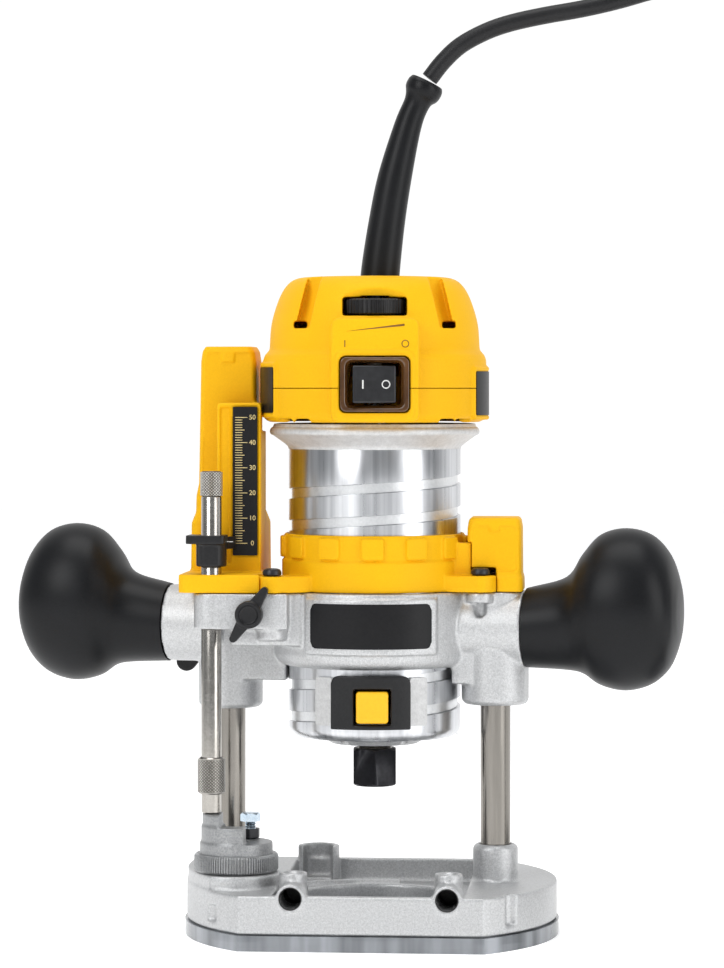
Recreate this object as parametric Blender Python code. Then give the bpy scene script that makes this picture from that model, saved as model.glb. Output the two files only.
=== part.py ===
"""A plunge router: a round motor clamped in a carriage that slides down two posts of a flat-sided base.

Lengths are millimetres and angles are degrees, in a frame whose Z axis is the spindle's axis and whose
Z = 0 is the sole. A shape becomes metres only when place() makes its object. The tool's front is -Y.
"""

import math

import bmesh
import bpy
from mathutils import Matrix, Vector

METRES = 0.001
GAP = 0.3

# where the spindle's axis stands, so that the tool is centred on the origin
SPINDLE_X = 11.36
SPINDLE_Y = 1.85

# the base
BASE_RADIUS = 74.0
BASE_CENTRE = (-0.8, -3.0)
BASE_FRONT = -60.5
BASE_BACK = 56.0
SOLE_THICKNESS = 6.0
FLOOR_TOP = 12.0
WALL_TOP = 21.3
WALL_THICKNESS = 4.0
OPENING_RADIUS = 33.0
SOLE_HOLE_RADIUS = 17.5
PAD_TOP = 26.7

# the posts and handles stand on one line through the spindle's axis
LINE_TURN = -9.0
LEFT_POST_AT = -60.0
RIGHT_POST_AT = 49.5
POST_RADIUS = 6.0
POST_BORE = 4.4
BUSH_RADIUS = 8.5
STROKE = 55.0

# the carriage
CASTING_TOP = 136.5
RING_BOTTOM = 106.5
RING_RADIUS = 40.0
BORE_RADIUS = 34.9
LEFT_BOSS_BOTTOM = 88.2
RIGHT_BOSS_BOTTOM = 91.6
BRACKET_BOTTOM = 122.4
HANDLE_HEIGHT = 122.0
NECK_RADIUS = 15.5
LEFT_HANDLE_AT = -85.5
RIGHT_HANDLE_AT = 62.5
COLLAR_TOP = 159.3
COLLAR_RADIUS = 37.2
TOWER_TOP = 234.0
RIGHT_TOWER_TOP = 166.0

# the depth stop
ROD_AT = (-62.0, -32.0)
ROD_RADIUS = 4.0
TURRET_AT = (-52.5, -29.0)
TURRET_RADIUS = 16.6
TURRET_STEPS = (38.5, 45.0, 49.7)

# the carriage's fittings
LUG_SCREWS = ((-38.0, -32.0), (43.5, -20.0))
WING_AT = (-46.0, -38.9, 128.7)
LEVER_AT = (-66.0, 27.7, 125.0)
LATCH_AT = (17.0, 45.0)
LATCH_HEIGHT = 121.5

# the motor faces a little to the right of the base's front
MOTOR_TURN = 4.5
CAN_RADIUS = 34.5
CAN_BORE = 31.5
CAN_BOTTOM = 78.0
CAN_TOP = 203.4
CAP_RADIUS = 44.8
CAP_WALL = 2.5
CAP_SPLIT = 217.0
CAP_TOP = 261.5
# the cap's outer surface: (radius, height)
CAP_OUTLINE = (
    (43.8, 204.6), (CAP_RADIUS, 206.4), (CAP_RADIUS, 228.4), (42.2, 232.6),
    (41.0, 243.0), (38.0, 253.0), (34.5, 259.2), (30.5, CAP_TOP),
)
DIAL_AT = (0.0, -29.3)
ROCKER_AT = (0.0, -44.5)
VENT_PLACES = (-30.0, -24.0, 24.0, 30.0)
VENT_BOTTOM = 240.6
BOOT_X = 2.0
# the boot's stations: (sideways, height, radius)
BOOT_STATIONS = (
    (1.9, 255.5, 7.8), (2.4, 265.0, 7.8), (4.9, 284.0, 7.3), (8.1, 302.0, 6.8), (13.3, 322.5, 5.5),
    (17.0, 331.8, 5.3), (18.9, 335.7, 7.2), (20.3, 338.5, 7.4), (21.2, 340.3, 6.6),
)

# the cord
CORD_RADIUS = 3.5
CORD_ROUTE = (
    (22.0, 1.7, 341.5), (27.4, 2.1, 348.4), (34.5, 2.7, 355.0), (44.6, 3.5, 360.5), (54.7, 4.3, 364.0),
    (67.8, 5.3, 366.9), (83.0, 6.5, 369.6), (97.0, 7.6, 372.8), (110.0, 8.6, 376.5), (121.0, 9.5, 379.1),
    (132.0, 10.4, 379.4), (142.6, 11.2, 376.2), (151.4, 11.9, 369.6), (157.8, 12.3, 360.0),
    (161.0, 12.4, 346.5), (162.0, 11.6, 328.0), (161.8, 9.4, 304.0), (161.0, 5.8, 274.0),
    (159.9, 1.2, 240.0), (158.6, -3.6, 206.0), (157.3, -8.6, 172.0), (156.1, -13.4, 140.0),
    (155.1, -17.8, 110.0), (154.4, -21.6, 82.0), (154.1, -24.0, 57.0), (154.0, -23.6, 37.2),
    (154.0, -21.1, 24.8), (154.0, -15.4, 15.0), (154.0, -8.4, 9.1), (154.0, -0.6, 5.8), (154.0, 7.6, 4.7),
)
COIL_AT = (206.2, 36.0)
COIL_INNER = 23.9
COIL_OUTER = 55.7
COIL_LOW = 1.0
COIL_HEIGHT = 14.2
PLUG_AT = (258.4, 5.6, 7.8)


# ---------------------------------------------------------------- outlines

def arc(centre, radius, first, last, steps):
    """Points of an arc from one angle to another, with both ends."""
    angles = [math.radians(first + (last - first) * i / steps) for i in range(steps + 1)]
    return [(centre[0] + radius * math.cos(a), centre[1] + radius * math.sin(a)) for a in angles]


def circle(centre, radius, sides=20):
    return arc(centre, radius, 0, 360 - 360 / sides, sides - 1)


def rectangle(left, right, front, back, corner=0.0, steps=3):
    """A rectangle with round corners."""
    if not corner:
        return [(left, front), (right, front), (right, back), (left, back)]
    return (
        arc((right - corner, front + corner), corner, -90, 0, steps)
        + arc((right - corner, back - corner), corner, 0, 90, steps)
        + arc((left + corner, back - corner), corner, 90, 180, steps)
        + arc((left + corner, front + corner), corner, 180, 270, steps)
    )


def around(*outlines):
    """The convex outline that a band stretched around these outlines would take."""
    points = sorted({(round(x, 6), round(y, 6)) for outline in outlines for x, y in outline})

    def half(ordered):
        kept = []
        for x, y in ordered:
            while len(kept) > 1:
                (ax, ay), (bx, by) = kept[-2:]
                if (bx - ax) * (y - ay) - (by - ay) * (x - ax) > 1e-9:
                    break
                kept.pop()
            kept.append((x, y))
        return kept[:-1]

    return half(points) + half(points[::-1])


def flat_sided(radius, front, back, steps=11):
    """The base's outline: a circle cut flat at the front and at the back."""
    low = math.degrees(math.asin((front - BASE_CENTRE[1]) / radius))
    high = math.degrees(math.asin((back - BASE_CENTRE[1]) / radius))
    return arc(BASE_CENTRE, radius, low, high, steps) + arc(BASE_CENTRE, radius, 180 - high, 180 - low, steps)


def hexagon(centre, across_flats, turn=0.0):
    return arc(centre, across_flats / math.sqrt(3), turn, turn + 300, 5)


def gear(centre, inner, outer, teeth):
    """A ribbed round outline, as on a knurled edge."""
    points = []
    for tooth in range(teeth):
        start = 360 * tooth / teeth
        points += arc(centre, inner, start, start + 90 / teeth, 1)
        points += arc(centre, outer, start + 180 / teeth, start + 270 / teeth, 1)
    return points


def smooth(points, steps):
    """A Catmull-Rom curve through the points, each span cut into this many steps."""
    points = [Vector(p) for p in points]
    ends = [2 * points[0] - points[1]] + points + [2 * points[-1] - points[-2]]
    curve = []
    for before, start, end, after in zip(ends, ends[1:], ends[2:], ends[3:]):
        for i in range(steps):
            t = i / steps
            curve.append(
                0.5 * (
                    2 * start + (end - before) * t
                    + (2 * before - 5 * start + 4 * end - after) * t * t
                    + (3 * start - before - 3 * end + after) * t * t * t
                )
            )
    return curve + [points[-1]]


# ---------------------------------------------------------------- solids

def finished(bm):
    """The bmesh as a mesh whose faces point outwards."""
    bmesh.ops.recalc_face_normals(bm, faces=bm.faces)
    mesh = bpy.data.meshes.new("shape")
    bm.to_mesh(mesh)
    bm.free()
    return mesh


def lofted(rings):
    """A closed skin over rings of equally many points, with flat ends."""
    bm = bmesh.new()
    loops = [[bm.verts.new(point) for point in ring] for ring in rings]
    for low, high in zip(loops, loops[1:]):
        for i in range(len(low)):
            j = (i + 1) % len(low)
            bm.faces.new((low[i], low[j], high[j], high[i]))
    bm.faces.new(loops[0])
    bm.faces.new(loops[-1])
    return finished(bm)


def prism(outline, low, high):
    return lofted([[(x, y, z) for x, y in outline] for z in (low, high)])


def turned(outline, sides=20):
    """A (radius, height) outline turned about Z. A radius of 0 lies on the axis."""
    bm = bmesh.new()
    rows = []
    for radius, height in outline:
        spokes = 1 if radius == 0 else sides
        ring = arc((0, 0), radius, 0, 360 - 360 / sides, sides - 1)[:spokes]
        rows.append([bm.verts.new((x, y, height)) for x, y in ring])
    for first, second in zip(rows, rows[1:] + rows[:1]):
        for i in range(sides):
            corners = [first[i % len(first)], first[(i + 1) % len(first)]]
            corners += [second[(i + 1) % len(second)], second[i % len(second)]]
            corners = list(dict.fromkeys(corners))
            if len(corners) > 2:
                bm.faces.new(corners)
    return finished(bm)


def rod(radius, low, high, sides=16, chamfer=0.0):
    outline = [(0, low), (radius - chamfer, low), (radius, low + chamfer)]
    outline += [(radius, high - chamfer), (radius - chamfer, high), (0, high)]
    return turned(list(dict.fromkeys(outline)), sides)


def sleeve(inner, outer, low, high, sides=20):
    return turned([(inner, low), (outer, low), (outer, high), (inner, high)], sides)


def moved(mesh, x=0.0, y=0.0, z=0.0, turn=0.0, tilt=0.0):
    """The mesh tilted about X, turned about Z, and then moved."""
    rotation = Matrix.Rotation(math.radians(turn), 4, "Z") @ Matrix.Rotation(math.radians(tilt), 4, "X")
    mesh.transform(Matrix.Translation((x, y, z)) @ rotation)
    return mesh


def facing_front(mesh):
    """The mesh with its Z axis turned to point forward, and its Y axis up."""
    return moved(mesh, tilt=90)


def boolean(first, second, operation):
    """What one closed mesh makes with another, as a new mesh."""
    base = bpy.data.objects.new("first", first)
    tool = bpy.data.objects.new("second", second)
    bpy.context.scene.collection.objects.link(base)
    modifier = base.modifiers.new("Boolean", "BOOLEAN")
    modifier.operation = operation
    modifier.solver = "EXACT"
    modifier.object = tool
    graph = bpy.context.evaluated_depsgraph_get()
    made = bpy.data.meshes.new_from_object(base.evaluated_get(graph))
    for obj in (base, tool):
        bpy.data.objects.remove(obj)
    for mesh in (first, second):
        bpy.data.meshes.remove(mesh)
    return made


def joined(first, *others):
    for other in others:
        first = boolean(first, other, "UNION")
    return first


def cut(first, *cutters):
    for cutter in cutters:
        first = boolean(first, cutter, "DIFFERENCE")
    return first


def spring(radius, wire, low, high, turns, steps=6, sides=4):
    """A compression spring along Z."""
    rings = []
    for i in range(turns * steps + 1):
        angle = 2 * math.pi * i / steps
        out = Vector((math.cos(angle), math.sin(angle), 0))
        rise = low + wire + (high - low - 2 * wire) * i / (turns * steps)
        ring = []
        for k in range(sides):
            a = 2 * math.pi * k / sides
            ring.append(out * (radius + wire * math.cos(a)) + Vector((0, 0, rise + wire * math.sin(a))))
        rings.append(ring)
    return lofted(rings)


# ---------------------------------------------------------------- objects

def material(name, colour, roughness, metallic=0.0, alpha=1.0):
    made = bpy.data.materials.new(name)
    made.use_nodes = True
    shader = made.node_tree.nodes["Principled BSDF"]
    shader.inputs["Base Color"].default_value = (*colour, 1.0)
    shader.inputs["Roughness"].default_value = roughness
    shader.inputs["Metallic"].default_value = metallic
    shader.inputs["Alpha"].default_value = alpha
    made.diffuse_color = (*colour, alpha)
    return made


def frame(name, parent=None, at=(0.0, 0.0, 0.0), turn=0.0):
    """An empty that carries what moves or stands with it."""
    empty = bpy.data.objects.new(name, None)
    bpy.context.scene.collection.objects.link(empty)
    empty.parent = parent
    empty.location = Vector(at) * METRES
    empty.rotation_euler.z = math.radians(turn)
    return empty


def place(name, mesh, finish, parent, origin=(0.0, 0.0, 0.0)):
    """The node's object. The mesh is in its parent's frame, and origin is where the object's origin goes."""
    mesh.transform(Matrix.Scale(METRES, 4) @ Matrix.Translation(-Vector(origin)))
    mesh.name = name
    mesh.materials.clear()
    mesh.materials.append(finish)
    mesh.shade_smooth()
    mesh.set_sharp_from_angle(angle=math.radians(35))
    obj = bpy.data.objects.new(name, mesh)
    bpy.context.scene.collection.objects.link(obj)
    obj.parent = parent
    obj.location = Vector(origin) * METRES
    return obj


def on_line(distance, across=0.0):
    """A point on the line of the posts, and how far behind it."""
    turn = math.radians(LINE_TURN)
    return (
        distance * math.cos(turn) - across * math.sin(turn),
        distance * math.sin(turn) + across * math.cos(turn),
    )


# ---------------------------------------------------------------- base

def sub_base():
    plate = prism(flat_sided(BASE_RADIUS + 0.8, BASE_FRONT, BASE_BACK + 0.8), 0, SOLE_THICKNESS)
    holes = [prism(circle((0, 0), SOLE_HOLE_RADIUS, 32), -1, SOLE_THICKNESS + 1)]
    for x, y in sole_screw_places():
        holes.append(prism(circle((x, y), 2.6, 10), -1, SOLE_THICKNESS + 1))
        holes.append(prism(circle((x, y), 4.9, 12), -1, 3.5))
    return cut(plate, *holes)


def sole_screw_places():
    return [(52 * math.cos(math.radians(a)), 52 * math.sin(math.radians(a))) for a in (-25, 112, 205)]


def sole_screw(x, y):
    head = rod(4.4, 0.8, 3.2, 16)
    slot = prism(rectangle(-0.7, 0.7, -5, 5), 0, 1.6)
    return moved(cut(joined(head, rod(2.2, 3.0, 11.0, 12)), slot), x, y)


def fence_hole_places():
    return ((-28.0, 20.4), (32.5, 20.4))


def base_casting():
    bottom = SOLE_THICKNESS + GAP
    body = prism(flat_sided(BASE_RADIUS, BASE_FRONT + 0.5, BASE_BACK), bottom, WALL_TOP)
    front = BASE_FRONT + 0.5
    pocket = flat_sided(BASE_RADIUS - WALL_THICKNESS, front + WALL_THICKNESS, BASE_BACK - WALL_THICKNESS)
    middle = boolean(
        prism(pocket, FLOOR_TOP, WALL_TOP + 5), prism(rectangle(-35.5, 39, -90, 90, 8), 0, 90), "INTERSECT"
    )
    body = cut(body, middle, prism(circle((0, 0), OPENING_RADIUS, 40), 0, 90))
    pad = boolean(
        prism(flat_sided(BASE_RADIUS - 0.4, BASE_FRONT + 0.9, BASE_BACK - 0.4), bottom + 1, PAD_TOP),
        prism(
            around(circle(TURRET_AT, 18.2), circle(on_line(LEFT_POST_AT), 11), [(-80, -25), (-80, 10)]), 0, 90
        ),
        "INTERSECT",
    )
    left_boss = moved(rod(9.4, 10, 30, 16, 0.8), *on_line(LEFT_POST_AT))
    right_boss = moved(rod(9.0, 10, 36, 16, 1.0), *on_line(RIGHT_POST_AT))
    body = joined(body, pad, left_boss, right_boss)
    for x, z in fence_hole_places():
        collar = moved(rod(5.7, 0, 15, 14), x, BASE_FRONT + 0.2, z, tilt=-90)
        boss = moved(rod(5.5, FLOOR_TOP - 1, 29.2, 14), x, -48)
        body = joined(body, collar, boss)
    saddle = cut(
        prism(circle((-27, 47.5), 8.6, 14), FLOOR_TOP - 1, 27.5),
        prism(circle((-27, 47.5), 6.4, 12), FLOOR_TOP + 2, 40),
        prism(rectangle(-40, -21, 30, 46), FLOOR_TOP, 40),
    )
    body = joined(body, saddle)
    for x, z in fence_hole_places():
        body = cut(body, moved(rod(4.15, -5, 25, 12), x, BASE_FRONT, z, tilt=-90))
        body = cut(body, moved(rod(2.9, 20, 40, 10), x, -48))
    for angle in (-39, 217):
        x, y = arc(BASE_CENTRE, BASE_RADIUS + 0.6, angle, angle, 1)[0]
        body = cut(body, moved(rod(3.1, 9.5, 40, 12), x, y))
    for place_at in (LEFT_POST_AT, RIGHT_POST_AT):
        body = cut(body, moved(rod(POST_RADIUS + GAP, 8, 60, 20), *on_line(place_at), turn=5))
    body = cut(body, moved(rod(3.4, 11, 40, 20), *TURRET_AT))
    for x, y in sole_screw_places():
        body = cut(body, moved(rod(2.6, 0, 11.6, 10), x, y))
    return body


def post(distance, top):
    outline = [(0, 8.3), (POST_RADIUS, 8.3), (POST_RADIUS, top), (POST_BORE, top), (POST_BORE, 14), (0, 14)]
    return moved(turned(outline), *on_line(distance))


def post_spring(distance, high, turns):
    return moved(spring(3.2, 0.75, 14.4, high, turns), *on_line(distance))


def fence_screw(x):
    """The slotted screw that holds a fence rod."""
    slot = prism(rectangle(-0.5, 0.5, -5, 5), 26.8, 40)
    return moved(cut(rod(2.5, 24.8, 28.2, 16), slot), x, -48)


def make_base(root, finish):
    place("sub_base", sub_base(), finish["clear"], root)
    place("base_casting", base_casting(), finish["cast"], root)
    place("left_post", post(LEFT_POST_AT, 176), finish["steel"], root)
    place("right_post", post(RIGHT_POST_AT, 107.5), finish["steel"], root)
    place("left_spring", post_spring(LEFT_POST_AT, 230.4, 11), finish["spring"], root)
    place("right_spring", post_spring(RIGHT_POST_AT, 162.4, 7), finish["spring"], root)
    for number, (x, y) in enumerate(sole_screw_places(), 1):
        place(f"sub_base_screw_{number}", sole_screw(x, y), finish["screw"], root)
    for side, (x, _) in zip(("left", "right"), fence_hole_places()):
        place(f"fence_rod_screw_{side}", fence_screw(x), finish["screw"], root)
    pivot = joined(rod(3.0, 12, 31.5, 16), rod(5.0, 31.2, 34.4))
    place("turret_pivot_screw", moved(pivot, *TURRET_AT), finish["screw"], root, (*TURRET_AT, 12))


# ---------------------------------------------------------------- depth stop

def depth_turret():
    """The turning stop: a ribbed ring and three steps, all about its own axis."""
    low, middle, high = TURRET_STEPS
    body = prism(gear((0, 0), TURRET_RADIUS - 0.5, TURRET_RADIUS, 20), PAD_TOP + GAP, 34)
    body = joined(body, prism(circle((0, 0), 14.4, 24), 33, low))
    second = prism(circle((0, 0), 13.8, 24), low - 1, middle)
    second = boolean(second, prism(rectangle(-20, 4.3, -20, 3), 0, 90), "INTERSECT")
    third = prism(circle((0, 0), 13.3, 24), middle - 1, high)
    third = boolean(third, prism(rectangle(-20, -5.5, -20, 3), 0, 90), "INTERSECT")
    return cut(
        joined(body, second, third),
        rod(3.35, 20, 32, 16),
        rod(5.3, 30.9, 60, 20),
        moved(rod(2.6, 30.5, 60, 12), 4.6, 9.0),
    )


def make_turret(turret, finish):
    place("depth_turret", depth_turret(), finish["cast"], turret)
    screw = joined(rod(2.2, 30.9, 46.2, 12), prism(hexagon((0, 0), 7.0), 45.6, 48.6))
    place("turret_stop_screw", moved(screw, 4.6, 9.0), finish["zinc"], turret, (4.6, 9.0, 31))
    nut = cut(prism(hexagon((0, 0), 7.0, 30), TURRET_STEPS[0] + GAP, 42.6), rod(2.55, 30, 60, 12))
    place("turret_lock_nut", moved(nut, 4.6, 9.0), finish["black_metal"], turret, (4.6, 9.0, 39))


def make_depth_rod(slide, stop, knob, finish):
    """The rod, the pointer that slides on it and the knurled nut on its end, all about the rod's axis."""
    shaft = joined(rod(ROD_RADIUS, 61.5, 175), prism(gear((0, 0), 4.15, 4.35, 12), 174.5, 184.5))
    place("depth_rod", shaft, finish["steel"], slide)
    pointer = joined(
        rod(6.0, 147.0, 157.0, 20),
        prism(rectangle(-9.6, 6.0, -6.5, 5.5, 2), 156.0, 159.4),
        prism([(-0.5, 1), (5.5, 2), (8.3, 10.6), (8.3, 12.0), (5.6, 12.0), (-0.5, 5)], 153.6, 158.4),
    )
    pointer = cut(pointer, rod(ROD_RADIUS + GAP, 140, 170, 20))
    place("pointer", pointer, finish["black"], stop)
    body = joined(prism(gear((0, 0), 5.2, 5.5, 12), 57.5, 72.0), rod(3.9, 50.0, 58))
    place("fine_adjuster", cut(body, rod(ROD_RADIUS + GAP, 61.0, 90, 20)), finish["steel"], knob)


# ---------------------------------------------------------------- carriage

def carriage_casting():
    """The ring, its two post bosses with the handle necks, and the bracket for the depth rod."""
    above = CASTING_TOP + 2
    ring = turned(
        [(BORE_RADIUS - 2, RING_BOTTOM), (36.0, RING_BOTTOM)]
        + arc((36.0, RING_BOTTOM + 9), 4.0, -60, 0, 3)
        + [(RING_RADIUS, above), (BORE_RADIUS - 2, above)],
        36,
    )
    left = moved(rod(13.0, LEFT_BOSS_BOTTOM, above + 0.8, 20, 1.2), *on_line(LEFT_POST_AT), turn=3)
    right = moved(rod(13.5, RIGHT_BOSS_BOTTOM, above + 0.7, 20, 1.2), *on_line(RIGHT_POST_AT), turn=3)
    struts = [
        moved(prism(rectangle(LEFT_POST_AT, -34, -11, 11), 100, above - 0.3), turn=LINE_TURN),
        moved(prism(rectangle(34, RIGHT_POST_AT, -12, 12), 100, above - 0.4), turn=LINE_TURN),
    ]
    necks = [
        moved(rod(NECK_RADIUS, 0, length, 20), *on_line(start), HANDLE_HEIGHT, turn=90 + LINE_TURN, tilt=90)
        for start, length in (
            (LEFT_HANDLE_AT + GAP, LEFT_POST_AT - LEFT_HANDLE_AT),
            (RIGHT_POST_AT, RIGHT_HANDLE_AT - RIGHT_POST_AT + 2),
        )
    ]
    bracket = [
        prism(around(circle(ROD_AT, 6.9), circle(on_line(LEFT_POST_AT), 12.6)), BRACKET_BOTTOM, above - 0.5),
        prism(
            around(circle(ROD_AT, 6.7), rectangle(-45, -31.5, -38, -20)), BRACKET_BOTTOM + 0.2, above - 0.6
        ),
        prism(around(rectangle(-55, -50, -30, 5), rectangle(-35, -27, -31, 5)), 115.6, above - 0.7),
    ]
    lugs = [
        moved(rod(5.8, 118, above - 0.1, 20), *LUG_SCREWS[0]),
        moved(rod(5.4, 126, above - 0.2, 20), *LUG_SCREWS[1]),
        moved(rod(6.0, -15, -0.5, 20), *LEVER_AT, tilt=-90),
        moved(prism(rectangle(-10, 10, 36, 50, 2), 112, 131)),
    ]
    body = joined(ring, left, right, *struts, *necks, *bracket, *lugs)
    holes = [
        moved(prism(rectangle(-78.5, 90, -60, 60), CASTING_TOP, 150), turn=LINE_TURN),
        moved(prism(rectangle(RIGHT_HANDLE_AT - GAP, 90, -60, 60), 70, 160), turn=LINE_TURN),
        prism(circle((0, 0), BORE_RADIUS, 40), 80, 150),
        moved(rod(BUSH_RADIUS + GAP, 80, 150, 20), *on_line(LEFT_POST_AT), turn=5),
        moved(rod(BUSH_RADIUS + GAP, 80, 150, 20), *on_line(RIGHT_POST_AT), turn=5),
        moved(rod(ROD_RADIUS + GAP, 100, 150, 16), *ROD_AT),
        moved(rod(6.1, 100, 128, 16), *ROD_AT),
        moved(rod(2.4, -1, 11, 12), *WING_AT, tilt=-90),
        *[moved(rod(2.2, 126.8, 150, 12), *at) for at in LUG_SCREWS],
        moved(rod(3.3, -8.5, 5, 16), *LEVER_AT, tilt=-90),
        prism(rectangle(-1.2, 1.2, 30, 60), 100, 150),
        moved(rod(2.6, 0, 30, 12), -15, LATCH_AT[1], LATCH_HEIGHT, turn=90, tilt=90),
    ]
    return cut(body, *holes)


def collar_cover():
    """The ring that guides the motor, with a lug for each of its screws."""
    low = CASTING_TOP + GAP
    ring = sleeve(BORE_RADIUS - 1, COLLAR_RADIUS, low, COLLAR_TOP, 40)
    lugs = [
        prism(around(circle(LUG_SCREWS[0], 6.2), circle((-24, -21), 8)), low, 143.2),
        prism(around(circle(LUG_SCREWS[1], 6.2), circle((27, -14), 8)), low, 143.2),
        prism(rectangle(32, 39.6, -17, -13), low, 156),
    ]
    body = joined(ring, *lugs)
    return cut(
        body,
        prism(circle((0, 0), BORE_RADIUS, 40), 100, 200),
        *[moved(rod(2.3, 100, 200, 12), *at) for at in LUG_SCREWS],
    )


def collar_screw(x, y):
    head = rod(3.75, 143.5, 146.3)
    return moved(joined(head, rod(1.9, 127.2, 144, 12)), x, y)


def box_rings(levels, y_centre):
    """Rounded rectangles at heights: (height, left, right, half depth, corner)."""
    return [
        [(x, y, z) for x, y in rectangle(left, right, y_centre - deep, y_centre + deep, corner)]
        for z, left, right, deep, corner in levels
    ]


def scale_tower():
    """The hollow tower over the left post, its foot, and the frame that carries the depth scale."""
    low = CASTING_TOP + GAP
    y = on_line(LEFT_POST_AT)[1]
    tower = lofted(box_rings((
        (low + 2, -73.0, -45.6, 14.2, 4), (174, -72.0, -46.4, 14.0, 4), (179, -71.0, -47.2, 13.6, 4),
        (228, -70.2, -47.8, 13.2, 4), (232, -69.4, -48.6, 12.6, 3.5), (TOWER_TOP, -67.8, -50.2, 11.4, 2.5),
    ), y))
    hollow = lofted(box_rings((
        (low - 5, -70.6, -48.2, 11.6, 3), (TOWER_TOP - 2.6, -68.0, -50.2, 10.8, 3),
    ), y))
    foot = prism(around(rectangle(-74.6, -50, -38, 23, 3), rectangle(-50, -42.5, -38, 5)), low, 144)
    scale = prism(rectangle(-61, -44, -18.3, 0, 1), low + 3, 211)
    body = joined(tower, foot, scale)
    return cut(
        body, hollow,
        prism(circle((0, 0), COLLAR_RADIUS + GAP, 40), 100, 240),
        prism(circle((0, 0), CAP_RADIUS + 0.6, 48), 200, 240),
        prism(around(circle(LUG_SCREWS[0], 6.5), circle((-24, -21), 8.3)), 100, 200),
        prism(circle(ROD_AT, 4.6, 24), 100, 200),
    )


def right_tower():
    low = CASTING_TOP + GAP
    x, y = on_line(RIGHT_POST_AT)
    tower = lofted(box_rings((
        (low, x - 12.4, x + 11.0, 12.6, 3), (143, x - 12.2, x + 11.0, 12.4, 3),
        (145, x - 11.2, x + 10.8, 11.6, 3), (161, x - 10.6, x + 10.6, 11.0, 3),
        (RIGHT_TOWER_TOP, x - 9.8, x + 9.8, 10.2, 2.5),
    ), y))
    hollow = lofted(box_rings(((low - 5, x - 9.6, x + 9.6, 9.8, 3), (163.4, x - 8.2, x + 8.2, 8.6, 3)), y))
    return cut(
        tower, hollow,
        prism(circle((0, 0), COLLAR_RADIUS + GAP, 40), 100, 200),
        prism(around(circle(LUG_SCREWS[1], 6.5), circle((27, -14), 8.3)), 100, 200),
        prism(rectangle(25, 39.9, -30, -12.7), 100, 200),
    )


def bush(distance, low):
    return moved(sleeve(POST_RADIUS + GAP, BUSH_RADIUS, low, CASTING_TOP - 1), *on_line(distance))


def handle(start, side):
    """A mushroom-shaped grip on its neck's line. Its stations are (distance, top, bottom, half width)."""
    stations = smooth((
        (0.0, 137.9, 106.3), (16.0, 142.6, 105.6), (23.0, 152.3, 104.2), (30.0, 159.6, 99.8),
        (40.0, 162.0, 97.9), (50.0, 159.4, 100.6), (57.0, 152.0, 107.0), (61.0, 139.0, 119.0),
    ), 2)
    rings = []
    for out, top, bottom in stations:
        tall = (top - bottom) / 2
        wide = NECK_RADIUS + 0.3 + (tall - 15.8) * 0.58
        if out > 50:
            wide = min(wide, tall)
        x, y = on_line(start + side * out)
        rings.append([
            (
                x - wide * math.cos(a) * math.sin(math.radians(LINE_TURN)),
                y + wide * math.cos(a) * math.cos(math.radians(LINE_TURN)),
                (top + bottom) / 2 + tall * math.sin(a),
            )
            for a in (2 * math.pi * k / 16 for k in range(16))
        ])
    return lofted(rings)


def label_plate():
    """The plate on the ring's front, curved with it."""
    bend = arc((0, 0), RING_RADIUS + 1.5, -124, -52, 12) + arc((0, 0), RING_RADIUS + GAP, -52, -124, 12)
    return prism(bend, 115, 133)


def make_carriage(carriage, finish):
    place("carriage_casting", carriage_casting(), finish["cast"], carriage)
    place("collar_cover", collar_cover(), finish["yellow"], carriage)
    place("scale_tower", scale_tower(), finish["yellow"], carriage)
    place("right_tower", right_tower(), finish["yellow"], carriage)
    place("left_bush", bush(LEFT_POST_AT, LEFT_BOSS_BOTTOM + 1), finish["bronze"], carriage)
    place("right_bush", bush(RIGHT_POST_AT, RIGHT_BOSS_BOTTOM + 1), finish["bronze"], carriage)
    place("left_handle", handle(LEFT_HANDLE_AT, -1), finish["rubber"], carriage)
    place("right_handle", handle(RIGHT_HANDLE_AT, 1), finish["rubber"], carriage)
    place("depth_scale", prism(rectangle(-55, -45.3, -19.6, -18.6), 150.8, 209.8), finish["black"], carriage)
    place("label_plate", label_plate(), finish["black"], carriage)
    for side, at in zip(("left", "right"), LUG_SCREWS):
        place(f"collar_screw_{side}", collar_screw(*at), finish["black_metal"], carriage)
    bolt = joined(
        moved(rod(2.2, -32.4, 0, 16), turn=90, tilt=90),
        prism(circle((0, 0), 4.4, 20), -2.2, 2.2),
        moved(prism(hexagon((0, 0), 8), -31.8, -27.5), turn=90, tilt=90),
    )
    bolt = cut(bolt, rod(2.3, -5, 5, 20))
    place("clamp_bolt", moved(bolt, *LATCH_AT, LATCH_HEIGHT), finish["zinc"], carriage)
    place("latch_pin", moved(rod(2.0, 111.5, 131.5, 16, 0.3), *LATCH_AT), finish["steel"], carriage)
    lock = joined(rod(3.0, -8.2, 6.6, 20), rod(5.0, 6.4, 9.4, 20, 0.5))
    place("lock_bolt", moved(lock, *LEVER_AT, tilt=-90), finish["screw"], carriage)


def clamp_latch():
    """The over-centre lever that closes the ring round the motor: two cheeks on the pin and an arm."""
    hub = prism(around(circle((0, 0), 5.0, 24), rectangle(-5.5, 0, 5.5, 8.0)), 113, 130)
    arm = prism(around(rectangle(-6, 2, 5.5, 8.0), circle((-36, 6.8), 1.2, 12)), 113, 130)
    return cut(joined(hub, arm), rod(2.3, 100, 140, 20), prism(rectangle(-9, 6, -6, 5.2), 118.7, 124.3))


def plunge_lock_lever():
    """The lever that locks the carriage on the left post."""
    hub = prism(circle((0, 0), 7.5, 28), 0, 6)
    upper = prism(around(circle((0, 0), 5.5), circle((-7, 20), 3.2, 16)), 0.6, 5.4)
    lower = prism(around(circle((0, 0), 5.5), circle((-14, -20), 4.2, 16)), 0.6, 5.4)
    return cut(joined(hub, upper, lower), rod(3.3, -5, 20, 20))


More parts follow.
